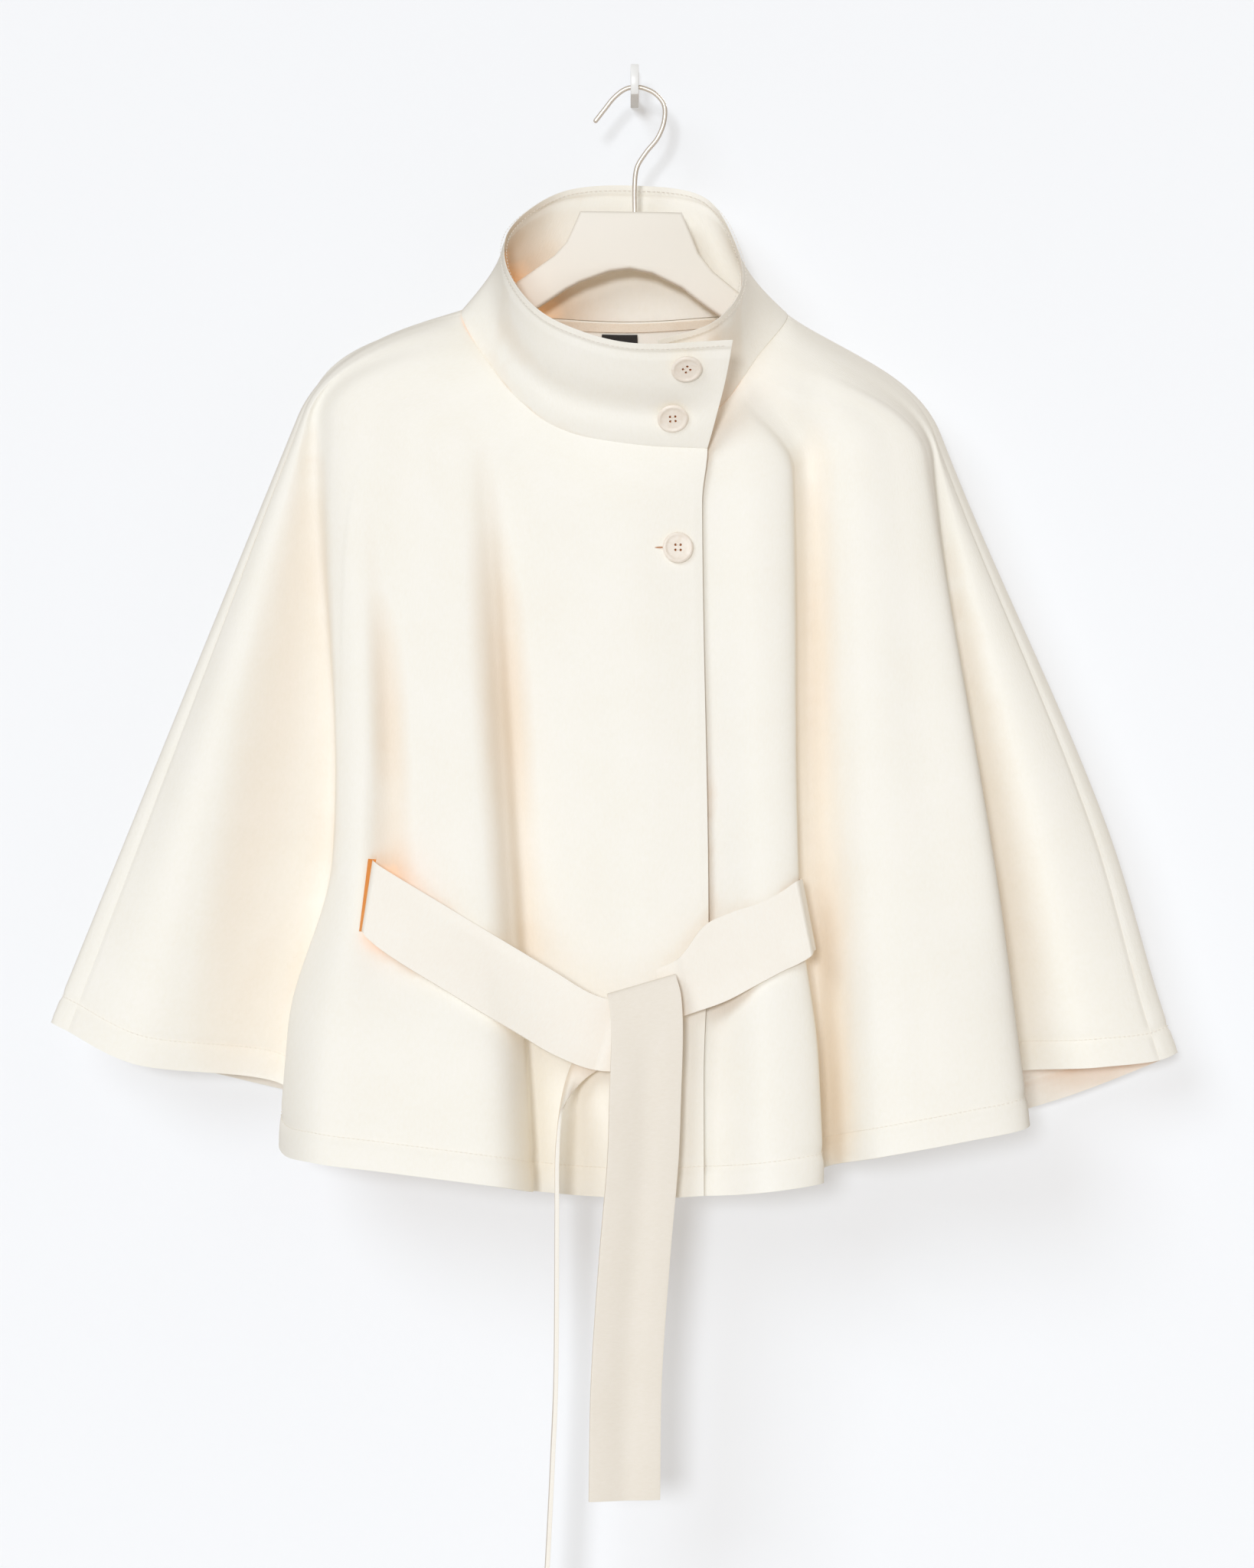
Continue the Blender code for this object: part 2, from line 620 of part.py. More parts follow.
def wire(name, points, diameter, look, per_point=3, resolution=2):
    """A bent wire along the smooth curve through its points."""
    curve = bpy.data.curves.new(name, "CURVE")
    curve.dimensions = "3D"
    curve.bevel_depth = diameter / 2000
    curve.bevel_resolution = resolution
    curve.use_fill_caps = True
    along = [through(range(len(points)), points, s) for s in spread(0, len(points) - 1, per_point)]
    spline = curve.splines.new("POLY")
    spline.points.add(len(along) - 1)
    for point, place in zip(spline.points, along):
        point.co = (*(Vector(place) / 1000), 1)
    return finish(bpy.data.objects.new(name, curve), look, smooth=False)


BENDS = [  # X and Z along the hanger's wire hook, from its root to its tip
    (-1.2, -93.4),
    (-1.2, -74),
    (0.6, -60),
    (7.5, -48.5),
    (16, -38),
    (21, -25.5),
    (21.2, -13),
    (15, -4.6),
    (6.5, -0.2),
    (-1.2, 0.9),
    (-9, -1),
    (-17, -7.3),
    (-24, -16),
    (-30.7, -24.6),
]
hanger_wire = wire("hanger_hook", [(x, HANGER_PLANE, z) for x, z in BENDS], WIRE, METAL)

# The wall hook: back strip, shank and finger, seen from the side as Y (towards the room) and Z
SADDLE = 0.9 - WIRE / 2 - 0.45  # top of the shank, just under the wire
finger = HANGER_PLANE - WIRE / 2 - 0.8
PROFILE = [
    (0, 22),
    (-3, 22),
    (-3.4, SADDLE + 1.2),
    (-5, SADDLE),
    (finger, SADDLE),
    (finger - 0.6, SADDLE + 1.2),
    (finger - 1.0, 16),
    (finger - 2.0, 17.4),
    (finger - 3.4, 17.4),
    (finger - 4.4, 16),
    (finger - 4.4, SADDLE - 1.2),
    (finger - 3.0, SADDLE - 3.8),
    (finger - 0.8, SADDLE - 4.8),
    (0, SADDLE - 4.8),
]
side = bpy.data.curves.new("wall_hook", "CURVE")
side.dimensions = "2D"
side.fill_mode = "BOTH"
side.extrude = HOOK_WIDTH / 2000
form = side.splines.new("POLY")
form.points.add(len(PROFILE) - 1)
form.use_cyclic_u = True
for point, (y, z) in zip(form.points, PROFILE):
    point.co = (y / 1000, z / 1000, 0, 1)
wall_hook = finish(bpy.data.objects.new("wall_hook", side), WHITE, smooth=False)
wall_hook.location = (-1.2 / 1000, 0, 0)
wall_hook.rotation_euler = (pi / 2, 0, pi / 2)
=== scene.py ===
"""A belted wool cape with a funnel collar, buttoned, on a moulded hanger that hangs from a small wall hook.

Everything is in the frame of the solids: the wall is the plane Y = 0, the garment faces -Y, and X = 0, Z = 0 is at
the bend of the wall hook. Tables are in millimetres. "Right" and "left" are the wearer's, so the right front is at -X.
"""

from collections import namedtuple
from math import cos, pi, radians, sin

import bmesh
import bpy
import numpy as np
from mathutils import Matrix, Vector
from mathutils.bvhtree import BVHTree
from mathutils.kdtree import KDTree


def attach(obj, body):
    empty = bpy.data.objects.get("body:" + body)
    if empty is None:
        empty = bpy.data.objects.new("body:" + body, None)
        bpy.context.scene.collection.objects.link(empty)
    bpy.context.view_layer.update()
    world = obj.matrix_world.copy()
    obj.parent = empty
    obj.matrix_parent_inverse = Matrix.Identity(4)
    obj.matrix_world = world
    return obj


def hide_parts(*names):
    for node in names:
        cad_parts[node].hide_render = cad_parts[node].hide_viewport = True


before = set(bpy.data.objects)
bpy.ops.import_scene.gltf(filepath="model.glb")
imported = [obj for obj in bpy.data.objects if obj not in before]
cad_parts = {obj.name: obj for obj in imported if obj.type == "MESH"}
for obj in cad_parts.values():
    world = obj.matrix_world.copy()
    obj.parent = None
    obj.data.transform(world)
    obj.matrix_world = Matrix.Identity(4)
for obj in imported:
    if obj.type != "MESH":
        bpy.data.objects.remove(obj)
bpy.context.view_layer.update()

# Camera
# Level with the garment's middle and 3.5 m in front of the hanger, a little to the left of its hook.
# The picture is 1638 by 2048, so the lens is set for 1188 mm of height at the hanger.
CAMERA_PLACE = (-0.007, -3.56, -0.527)
HANGER_DISTANCE, HEIGHT_SEEN = 3.5, 1.1878
lens_data = bpy.data.cameras.new("camera")
lens_data.lens = lens_data.sensor_width * HANGER_DISTANCE / HEIGHT_SEEN
camera = bpy.data.objects.new("camera", lens_data)
camera.location = CAMERA_PLACE
camera.rotation_euler = (radians(90), 0, 0)
bpy.context.scene.collection.objects.link(camera)
bpy.context.scene.camera = camera
bpy.context.scene.view_settings.view_transform = "Standard"


# Wall, floor and light
# A plain matt white wall just behind the hook's back strip and a pale floor below, lit by a broad soft light from
# the upper left, one close to the camera, a faint one from the right, one from behind for views of the back, and a
# warm even surround. The wall lets the view through from behind.
def linear(colour):
    """A colour written as sRGB hex, as the linear values that a shader takes."""
    parts = [int(colour[i : i + 2], 16) / 255 for i in (1, 3, 5)]
    return (*[c / 12.92 if c <= 0.04045 else ((c + 0.055) / 1.055) ** 2.4 for c in parts], 1.0)


def add(tree, kind, inputs=(), **settings):
    """One node with its settings. Its inputs, by name or number, are linked or set."""
    made = tree.nodes.new(kind)
    for name, value in settings.items():
        setattr(made, name, value)
    for key, value in dict(inputs).items():
        if isinstance(value, bpy.types.NodeSocket):
            tree.links.new(value, made.inputs[key])
        else:
            made.inputs[key].default_value = value
    return made


def new_material(name, **values):
    """A material with a Principled shader whose sockets are set by name."""
    made = bpy.data.materials.new(name)
    made.use_nodes = True
    shader = made.node_tree.nodes["Principled BSDF"]
    for key, value in values.items():
        shader.inputs[key.replace("_", " ")].default_value = value
    made.diffuse_color = shader.inputs["Base Color"].default_value
    made.cycles.emission_sampling = "NONE"  # no rays are sent for the faint glow that some of them have
    return made, made.node_tree, shader


def plane(name, size, matrix, look):
    """A square of wall or floor, which isn't part of the object."""
    bm = bmesh.new()
    bmesh.ops.create_grid(bm, x_segments=1, y_segments=1, size=size / 2, matrix=matrix)
    mesh = bpy.data.meshes.new(name)
    bm.to_mesh(mesh)
    bm.free()
    mesh.materials.append(look)
    obj = bpy.data.objects.new(name, mesh)
    bpy.context.scene.collection.objects.link(obj)
    return obj


WALL_COLOUR, FLOOR_COLOUR, SURROUND_COLOUR = "#D6D8DB", "#F4F4F4", "#FFEBD4"
WALL_GLOW = 0.27
ROOM_SIZE, WALL_GAP, FLOOR_LEVEL = 16.0, 0.0005, -1.75
# Matt wall paint: no highlight, and a glow of its own that keeps the shadows on it pale
paint, paint_tree, paint_shader = new_material("matt_wall_paint", Base_Color=linear(WALL_COLOUR), Roughness=1.0)
paint_shader.inputs["Specular IOR Level"].default_value = 0.0
paint_shader.inputs["Emission Color"].default_value = linear("#FFFFFF")
paint_shader.inputs["Emission Strength"].default_value = WALL_GLOW
behind = add(paint_tree, "ShaderNodeNewGeometry")
see_through = add(paint_tree, "ShaderNodeBsdfTransparent")
one_way = add(
    paint_tree,
    "ShaderNodeMixShader",
    {0: behind.outputs["Backfacing"], 1: paint_shader.outputs[0], 2: see_through.outputs[0]},
)
paint_tree.links.new(one_way.outputs[0], paint_tree.nodes["Material Output"].inputs["Surface"])
wall = plane("wall", ROOM_SIZE, Matrix.Translation((0, WALL_GAP, 0)) @ Matrix.Rotation(radians(90), 4, "X"), paint)
wall.visible_shadow = wall.visible_diffuse = wall.visible_glossy = False
# Matt floor: pale and without a reflection
floor_paint = new_material("matt_floor", Base_Color=linear(FLOOR_COLOUR), Roughness=0.9)[0]
plane("floor", ROOM_SIZE, Matrix.Translation((0, 0, FLOOR_LEVEL)), floor_paint)


def sun(name, from_place, strength, spread_degrees, colour):
    """A far light that shines from a place towards the middle of the frame."""
    data = bpy.data.lights.new(name, "SUN")
    data.energy, data.angle, data.color = strength, radians(spread_degrees), linear(colour)[:3]
    obj = bpy.data.objects.new(name, data)
    obj.rotation_mode = "QUATERNION"
    obj.rotation_quaternion = (-Vector(from_place)).to_track_quat("-Z", "Y")
    bpy.context.scene.collection.objects.link(obj)


sun("key_light", (-0.6, -1.0, 0.6), 0.9, 28, "#EAF5FF")
sun("front_light", (-0.13, -1.0, 0.11), 1.26, 9, "#F4F9FF")
sun("side_light", (0.9, -1.0, 0.5), 0.2, 60, "#FFFCF2")
sun("rear_light", (0.8, 1.0, 0.7), 1.3, 25, "#F4F8FF")
SURROUND_STRENGTH = 0.28
surround = bpy.data.worlds.new("surround")
surround.use_nodes = True
surround.node_tree.nodes["Background"].inputs["Color"].default_value = linear(SURROUND_COLOUR)
surround.node_tree.nodes["Background"].inputs["Strength"].default_value = SURROUND_STRENGTH
bpy.context.scene.world = surround
bpy.context.scene.cycles.diffuse_bounces = 8

# Brushed melton
# A heavy fulled wool, woven, milled until no weave shows, then brushed: its fibres lie downwards in a short soft nap.
# It is matt with a faint glow at the edges, and its cream is painted a warm tan in the folds: painted shade.
MELTON_COLOUR, MELTON_DEEP, MELTON_LIGHT = "#FAF7EE", "#F8F4E9", "#FCF9F2"
NAP_GRAIN = 0.0016  # fibres are 0.02 mm wide: this is how far apart their tufts lie
NAP_LENGTH = 0.0045
CLOUD = 0.05  # soft clouds that the milling leaves
PAINTED_GLOW_TINT, PAINTED_GLOW_STRENGTH = "#FFAC5C", 0.45  # a painted glow: warm light that the wool gives off itself where it is most closed in, standing for light through it
PAINTED_SHADE_TINT = "#E6C39A"  # painted shade: the warm tan that the cream is painted where light would go back and forth in a fold
TINT_START = 0.12  # how far the cloth is closed in where the painted shade starts
GLOW_SLOPE, GLOW_START = 2.2, 1.3  # how fast and from where the painted glow rises, in the same measure


def cloth_material(name, colour, deep, light, tuft, tuft_length, cloud, height, roughness, sheen):
    """A nap of tufts that lie along the cloth's own V direction, over soft clouds of tone."""
    made, tree, shader = new_material(name, Base_Color=linear(colour), Roughness=roughness)
    shader.inputs["Specular IOR Level"].default_value = 0.15
    shader.inputs["Sheen Weight"].default_value = sheen
    shader.inputs["Sheen Roughness"].default_value = 0.5
    shader.inputs["Sheen Tint"].default_value = linear(light)
    uv = add(tree, "ShaderNodeUVMap", uv_map="cloth")
    clouds = add(tree, "ShaderNodeTexNoise", {"Vector": uv.outputs[0], "Scale": 1 / cloud, "Detail": 3.0})
    stretched = add(
        tree, "ShaderNodeMapping", {"Vector": uv.outputs[0], "Scale": (1 / tuft, 1 / tuft_length, 1.0)}
    )
    nap = add(
        tree, "ShaderNodeTexNoise", {"Vector": stretched.outputs[0], "Scale": 1.0, "Detail": 4.0, "Distortion": 0.6}
    )
    mixed = add(
        tree,
        "ShaderNodeMath",
        {0: clouds.outputs["Fac"], 1: nap.outputs["Fac"]},
        operation="ADD",
    )
    tone = add(tree, "ShaderNodeMapRange", {"Value": mixed.outputs[0], "From Min": 0.5, "From Max": 1.5})
    ramp = add(tree, "ShaderNodeValToRGB", {"Fac": tone.outputs[0]})
    ramp.color_ramp.elements[0].color = linear(deep)
    ramp.color_ramp.elements[1].color = linear(light)
    middle = ramp.color_ramp.elements.new(0.5)
    middle.color = linear(colour)
    # Painted shade: the more the cloth around closes it in, the more the cream is mixed towards a warm tan
    hollow = add(tree, "ShaderNodeAttribute", attribute_name="hollow")
    share = add(
        tree, "ShaderNodeMath", {0: hollow.outputs["Fac"], 1: TINT_START}, operation="SUBTRACT", use_clamp=True
    )
    warm = add(tree, "ShaderNodeMix", {0: share.outputs[0]}, data_type="RGBA", blend_type="MULTIPLY")
    tree.links.new(ramp.outputs["Color"], warm.inputs[6])
    warm.inputs[7].default_value = linear(PAINTED_SHADE_TINT)
    tree.links.new(warm.outputs[2], shader.inputs["Base Color"])
    # Painted glow: past GLOW_START the most closed-in cloth gives off a warm light of its own
    inner = add(
        tree,
        "ShaderNodeMath",
        {0: hollow.outputs["Fac"], 1: GLOW_SLOPE, 2: -GLOW_START},
        operation="MULTIPLY_ADD",
        use_clamp=True,
    )
    painted_glow = add(tree, "ShaderNodeMath", {0: inner.outputs[0], 1: PAINTED_GLOW_STRENGTH}, operation="MULTIPLY")
    tree.links.new(painted_glow.outputs[0], shader.inputs["Emission Strength"])
    shader.inputs["Emission Color"].default_value = linear(PAINTED_GLOW_TINT)
    fuzz = add(tree, "ShaderNodeBump", {"Height": nap.outputs["Fac"], "Strength": 0.5, "Distance": height})
    tree.links.new(fuzz.outputs[0], shader.inputs["Normal"])
    return made


# Brushed melton: soft and matt, with slow clouds of tone and tufts that catch the light from the side
melton = cloth_material(
    "brushed_melton", MELTON_COLOUR, MELTON_DEEP, MELTON_LIGHT, NAP_GRAIN, NAP_LENGTH, CLOUD, 0.0003, 0.95, 0.12
)

# Funnel collar
# Two layers of the melton sewn along the rim, turned and topstitched. It stands away from the neck at the front, and
# its right end laps over the left one, where two buttons hold it.
COLLAR_CLOTH = 4.4
RIM_STITCH = 4.0  # from the rim to its topstitching
Band = namedtuple("Band", "name sx sy sz rx ry rz fall bulge")  # seam point, rim point, slope of the cape below
COLLAR = [
    Band("over_end", 53, -115, -276, 71, -158, -200, 86, 2),
    Band("front_centre", -1, -115, -273, -1, -163, -203, 86, 2),
    Band("front", -52, -108, -263, -49, -154, -190, 84, 1),
    Band("right_chest", -83, -99, -243, -79, -138, -170, 70, 0),
    Band("right_front", -110, -83, -211, -98, -108, -137, 42, -3),
    Band("right_side", -132, -60, -170, -93, -74, -105, 12, -6),
    Band("back_right", -103, -38, -169, -56, -41, -76, 48, -3),
    Band("back", -6, -29, -174, -1, -30, -70, 84, 1),
    Band("back_left", 84, -38, -169, 51, -42, -80, 53, -4),
    Band("left_side", 114, -60, -172, 74, -72, -117, 34, -8),
    Band("left_front", 91, -84, -205, 79, -102, -154, 44, -6),
    Band("under_front", 60, -101, -246, 57, -130, -184, 74, 0),
    Band("under_end", 16, -105, -268, 16, -147, -199, 84, 2),
]
NECK_CENTRE = np.array([-6.0, -62.0])


def through(knots, rows, at):
    """The smooth curve that passes each row at its knot, read at each place of `at`."""
    rows, knots, at = np.asarray(rows, float), np.asarray(knots, float), np.atleast_1d(at).astype(float)
    steps = np.diff(knots)
    slopes = np.diff(rows, axis=0) / steps[:, None]
    inner = (slopes[:-1] * steps[1:, None] + slopes[1:] * steps[:-1, None]) / (steps[:-1] + steps[1:])[:, None]
    tangents = np.concatenate([slopes[:1], inner, slopes[-1:]])
    i = np.clip(np.searchsorted(knots, at, side="right") - 1, 0, len(steps) - 1)
    h, q = steps[i][:, None], ((at - knots[i]) / steps[i])[:, None]
    return (
        rows[i] * (2 * q**3 - 3 * q**2 + 1)
        + tangents[i] * h * (q**3 - 2 * q**2 + q)
        + rows[i + 1] * (3 * q**2 - 2 * q**3)
        + tangents[i + 1] * h * (q**3 - q**2)
    )


def collar_points(s, t):
    """Points of the collar's middle surface, a row for each t from 0 at the seam to 1 at the rim."""
    rows = through(range(len(COLLAR)), [row[1:] for row in COLLAR], s)
    seam, rim = rows[:, :3], rows[:, 3:6]
    out = np.column_stack([seam[:, :2] - NECK_CENTRE, np.zeros(len(seam))])
    out *= rows[:, 7:8] / np.linalg.norm(out, axis=1)[:, None]
    t = np.atleast_1d(t)[:, None, None]
    return seam + (rim - seam) * t + out * np.sin(pi * t)


def unit(vectors):
    return vectors / np.linalg.norm(vectors, axis=-1, keepdims=True)


def normals_of(grid, towards):
    """The unit normals of a grid of points, turned so that most of them look the way given."""
    found = unit(np.cross(np.gradient(grid, axis=1), np.gradient(grid, axis=0)))
    return found if (found @ np.asarray(towards, float)).mean() > 0 else -found


def plain_mesh(obj):
    """Applies an object's modifiers and its place, so that its mesh alone holds the piece."""
    bpy.context.view_layer.update()
    shown = obj.evaluated_get(bpy.context.evaluated_depsgraph_get())
    mesh = bpy.data.meshes.new_from_object(shown)
    mesh.transform(obj.matrix_world)
    name, looks = obj.name, list(obj.data.materials)
    bpy.data.objects.remove(obj)
    mesh.name = name
    if not len(mesh.materials):
        for look in looks:
            mesh.materials.append(look)
    made = bpy.data.objects.new(name, mesh)
    bpy.context.scene.collection.objects.link(made)
    return made


def solid_cutter(name, matrix, make):
    """A closed shape that is taken out of another one."""
    bm = bmesh.new()
    make(bm, matrix)
    mesh = bpy.data.meshes.new(name)
    bm.to_mesh(mesh)
    bm.free()
    made = bpy.data.objects.new(name, mesh)
    bpy.context.scene.collection.objects.link(made)
    return made


def cloth(name, grid, thick, look, cuts=()):
    """A closed cloth of even thickness with rounded edges, from a grid of points of its middle surface."""
    rows, columns = grid.shape[:2]
    corner = np.arange(rows * columns).reshape(rows, columns)
    faces = np.stack([corner[:-1, :-1], corner[:-1, 1:], corner[1:, 1:], corner[1:, :-1]], -1).reshape(-1, 4)
    mesh = bpy.data.meshes.new(name)
    mesh.from_pydata((grid.reshape(-1, 3) / 1000).tolist(), [], faces.tolist())
    across = np.cumsum(np.linalg.norm(np.diff(grid, axis=1), axis=-1).mean(0))
    down = np.cumsum(np.linalg.norm(np.diff(grid, axis=0), axis=-1).mean(1))
    u = np.broadcast_to(np.concatenate([[0], across]), (rows, columns))
    v = np.broadcast_to(np.concatenate([[0], down])[:, None], (rows, columns))
    flat = (np.stack([u, v], -1).reshape(-1, 2) / 1000)[faces.reshape(-1)]
    mesh.uv_layers.new(name="cloth").data.foreach_set("uv", flat.astype(np.float32).ravel())
    mesh.materials.append(look)
    obj = bpy.data.objects.new(name, mesh)
    bpy.context.scene.collection.objects.link(obj)
    shell = obj.modifiers.new("cloth", "SOLIDIFY")
    shell.thickness, shell.offset, shell.use_even_offset, shell.thickness_clamp = thick / 1000, 0, True, 0.9
    edge = obj.modifiers.new("turned_edge", "BEVEL")
    edge.width, edge.segments, edge.limit_method, edge.angle_limit = thick * 0.42 / 1000, 3, "ANGLE", radians(50)
    for cutter in cuts:
        slit = obj.modifiers.new("slit", "BOOLEAN")
        slit.operation, slit.object = "DIFFERENCE", cutter
    obj = plain_mesh(obj)
    for cutter in cuts:
        bpy.data.objects.remove(cutter)
    obj.data.shade_smooth()
    obj.data.set_sharp_from_angle(angle=radians(48))
    return obj


def trough(distance, width, depth):
    """The depth of a soft groove at a distance from its line."""
    return depth * np.exp(-((np.asarray(distance) / width) ** 2))


COLLAR_COLUMNS = 240
DIP_AT, DIP_WIDTH, DIP_DEPTH = 0.36, 0.17, 7.0  # a soft dip round the front, up the collar as shares, and in mm
DIP_MIDDLE, DIP_REACH, DIP_FADE = 1.2, 3.6, 2.4  # and round the collar, in rows of its table
LIP_START, LIP_RISE, LIP_HEIGHT = 0.92, 0.025, 0.9  # the turned rim is thicker than the cloth below it
collar_s = np.linspace(0, len(COLLAR) - 1, COLLAR_COLUMNS)
collar_t = np.concatenate([np.linspace(0, 0.9, 26), np.linspace(0.9, 1, 16)[1:]])
collar_grid = collar_points(collar_s, collar_t)
collar_normals = normals_of(collar_grid, (0, 0, 1))
front_dip = trough(collar_t - DIP_AT, DIP_WIDTH, DIP_DEPTH)[:, None]
front_dip = front_dip * np.clip((DIP_REACH - np.abs(collar_s - DIP_MIDDLE)) / DIP_FADE, 0, 1)
collar_grid[..., 1] += front_dip * np.clip(collar_s / 0.5, 0, 1)
lip = np.clip((collar_t - LIP_START) / LIP_RISE, 0, 1)[:, None]
collar_grid[..., 1] -= LIP_HEIGHT * lip * lip * (3 - 2 * lip)
collar = cloth("funnel_collar", collar_grid, COLLAR_CLOTH, melton)
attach(collar, "root")
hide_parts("collar")

# Cape: two fronts and a back
# Each is one layer of melton, joined to its neighbour by a seam from the neck over the shoulder to the hem's tip.
# The cloth hangs in deep folds from the shoulders, and the belt draws its middle in through two slits.
CLOTH = 2.5
HEM = 22.0  # from the hem's edge to its topstitching
NECK_PART = 0.17  # share of each fall line between the neck seam and the yoke
WAIST = 0.61  # where the belt crosses, as a share of the way from yoke to hem
Line = namedtuple("Line", "name neck yx yy yz hx hy hz wx wy free")
LINES = [
    Line("front_edge", 0.0, 49, -115, -317, 50, -139, -832, 4, 4, 0.84),
    Line("centre_panel", 1.0, -1, -121, -325, 12, -138, -834, 0, 6, 0.84),
    Line("centre_hollow", 2.0, -55, -114, -319, -41, -112, -834, 0, 4, 0.84),
    Line("right_fold_under", 2.5, -93, -104, -307, -76, -98, -832, 2, 2, 0.84),
    Line("right_fold_edge", 2.8, -112, -105, -299, -79, -138, -829, -2, 12, 0.84),
    Line("right_fold_crest", 3.2, -127, -106, -288, -101, -168, -823, 0, 18, 0.84),
    Line("right_fold_dip", 3.7, -172, -93, -269, -186, -158, -813, -4, 24, 0.84),
    Line("right_fold_side", 4.1, -202, -93, -258, -238, -148, -807, 16, 14, 0.84),
    Line("right_fold_turn", 4.4, -225, -86, -253, -266, -104, -800, 24, 2, 0.84),
    Line("right_arm_hollow", 4.6, -241, -71, -253, -264, -53, -758, 24, 0, 1.0),
    Line("right_arm", 4.8, -250, -72, -252, -380, -85, -737, 0, -8, 1.0),
    Line("right_seam", 4.93, -252, -66, -247, -430, -65, -714, 0, 0, 1.0),
    Line("right_edge", 5.05, -256, -57, -249, -443, -55, -708, 0, 0, 1.0),
    Line("back_right_turn", 5.17, -252, -47, -243, -431, -43, -711, 0, 0, 1.0),
    Line("back_right_arm", 5.4, -238, -38, -228, -357, -34, -738, 0, 0, 1.0),
    Line("back_right_fold", 5.9, -182, -27, -232, -241, -18, -768, 0, -4, 1.0),
    Line("back_right_hollow", 6.4, -106, -25, -255, -129, -34, -794, 0, 0, 1.0),
    Line("back_centre", 7.0, -6, -24, -261, -18, -18, -806, 0, -5, 1.0),
    Line("back_left_hollow", 7.6, 70, -25, -255, 99, -34, -800, 0, 0, 1.0),
    Line("back_left_fold", 8.1, 146, -27, -238, 211, -18, -796, 0, -4, 1.0),
    Line("back_left_arm", 8.6, 204, -37, -243, 321, -34, -768, 4, 0, 1.0),
    Line("back_left_turn", 8.84, 224, -47, -255, 402, -43, -736, 11, 0, 1.0),
    Line("left_edge", 8.95, 230, -57, -262, 410, -55, -731, 12, 0, 1.0),
    Line("left_seam", 9.07, 225, -66, -262, 396, -65, -736, 12, 0, 1.0),
    Line("left_arm", 9.2, 227, -71, -273, 347, -74, -741, 8, -4, 1.0),
    Line("left_arm_hollow", 9.4, 224, -73, -282, 276, -56, -748, 6, -2, 1.0),
    Line("left_fold_turn", 9.6, 220, -83, -283, 284, -104, -772, 4, 0, 1.0),
    Line("left_fold_edge", 9.75, 214, -91, -281, 288, -148, -781, 4, 3, 1.0),
    Line("left_fold_crest", 9.95, 192, -96, -278, 242, -164, -790, 0, 8, 0.84),
    Line("left_fold_side", 10.15, 163, -99, -278, 180, -158, -802, 0, 8, 0.84),
    Line("valley", 10.35, 127, -86, -286, 141, -92, -815, -4, 0, 0.84),
    Line("front_fold_under", 10.5, 119, -92, -290, 132, -108, -821, -10, 2, 0.84),
    Line("front_fold_edge", 10.65, 113, -106, -296, 136, -150, -822, -7, 6, 0.84),
    Line("front_fold_crest", 10.85, 88, -112, -305, 98, -164, -827, 0, 10, 0.84),
    Line("front_under_start", 11.2, 59, -109, -313, 58, -137, -832, 0, 8, 0.84),
    Line("underlap", 11.6, 22, -108, -319, 16, -127, -832, 0, 5, 0.84),
    Line("under_edge", 12.0, -9, -108, -319, -15, -123, -831, 0, 3, 0.84),
]
AT = {line.name: i for i, line in enumerate(LINES)}
hems = np.array([[line.hx, line.hy, line.hz] for line in LINES], float)
LINE_KNOTS = np.concatenate([[0], np.cumsum(np.sqrt(np.linalg.norm(np.diff(hems, axis=0), axis=1)))])
HEM_ROWS = np.array(  # the lowest rows of points, in millimetres from the hem's edge, close together at its stitching
    [34, 31, 28.5, 26.5, 25, 24, 23.2, 22.6, 22, 21.4, 20.8, 20, 19, 17, 14.5, 12, 9.5, 7, 5, 3, 1.5, 0]
)
NECK_ROWS, BODY_ROWS = 30, 96
EDGE_COLUMN = 0.2  # the first column beside a panel edge, as a share of a step, keeps the edge crisp
SEAM_TUCK = 0.3  # how far outside the collar's middle the panel's raw edge lies


def fall_line(line, v):
    """The points of one fall line, with v 0 at the neck seam, NECK_PART at the yoke and 1 at the hem."""
    yoke, hem = np.array([line.yx, line.yy, line.yz], float), np.array([line.hx, line.hy, line.hz], float)
    w = np.clip((v - NECK_PART) / (1 - NECK_PART), 0, 1)
    turn = np.where(w < WAIST, w / WAIST, 1 + np.minimum((w - WAIST) / (line.free - WAIST), 1))
    drawn_in = np.array([line.wx, line.wy, 0.0]) * (np.sin(pi / 2 * turn) ** 2)[:, None]
    low = yoke + (hem - yoke) * w[:, None] + drawn_in
    seam, above = collar_points(line.neck, [0, 0.15])[:, 0]
    before, after = collar_points([max(line.neck - 0.02, 0), min(line.neck + 0.02, 12)], 0)[0]
    out = -unit(np.array([(after - before)[1], -(after - before)[0], 0.0]))
    fall = radians(through(range(len(COLLAR)), [row[1:] for row in COLLAR], line.neck)[0][6])
    leave = out * cos(fall) - np.array([0, 0, sin(fall)])
    seam = seam + leave * SEAM_TUCK
    reach = np.linalg.norm(yoke - seam)
    q = np.clip(v / NECK_PART, 0, 1)[:, None]
    high = (
        seam * (2 * q**3 - 3 * q**2 + 1)
        + leave * reach * (q**3 - 2 * q**2 + q)
        + yoke * (3 * q**2 - 2 * q**3)
        + unit(hem - yoke) * reach * (q**3 - q**2)
    )
    return np.where((v >= NECK_PART)[:, None], low, high)


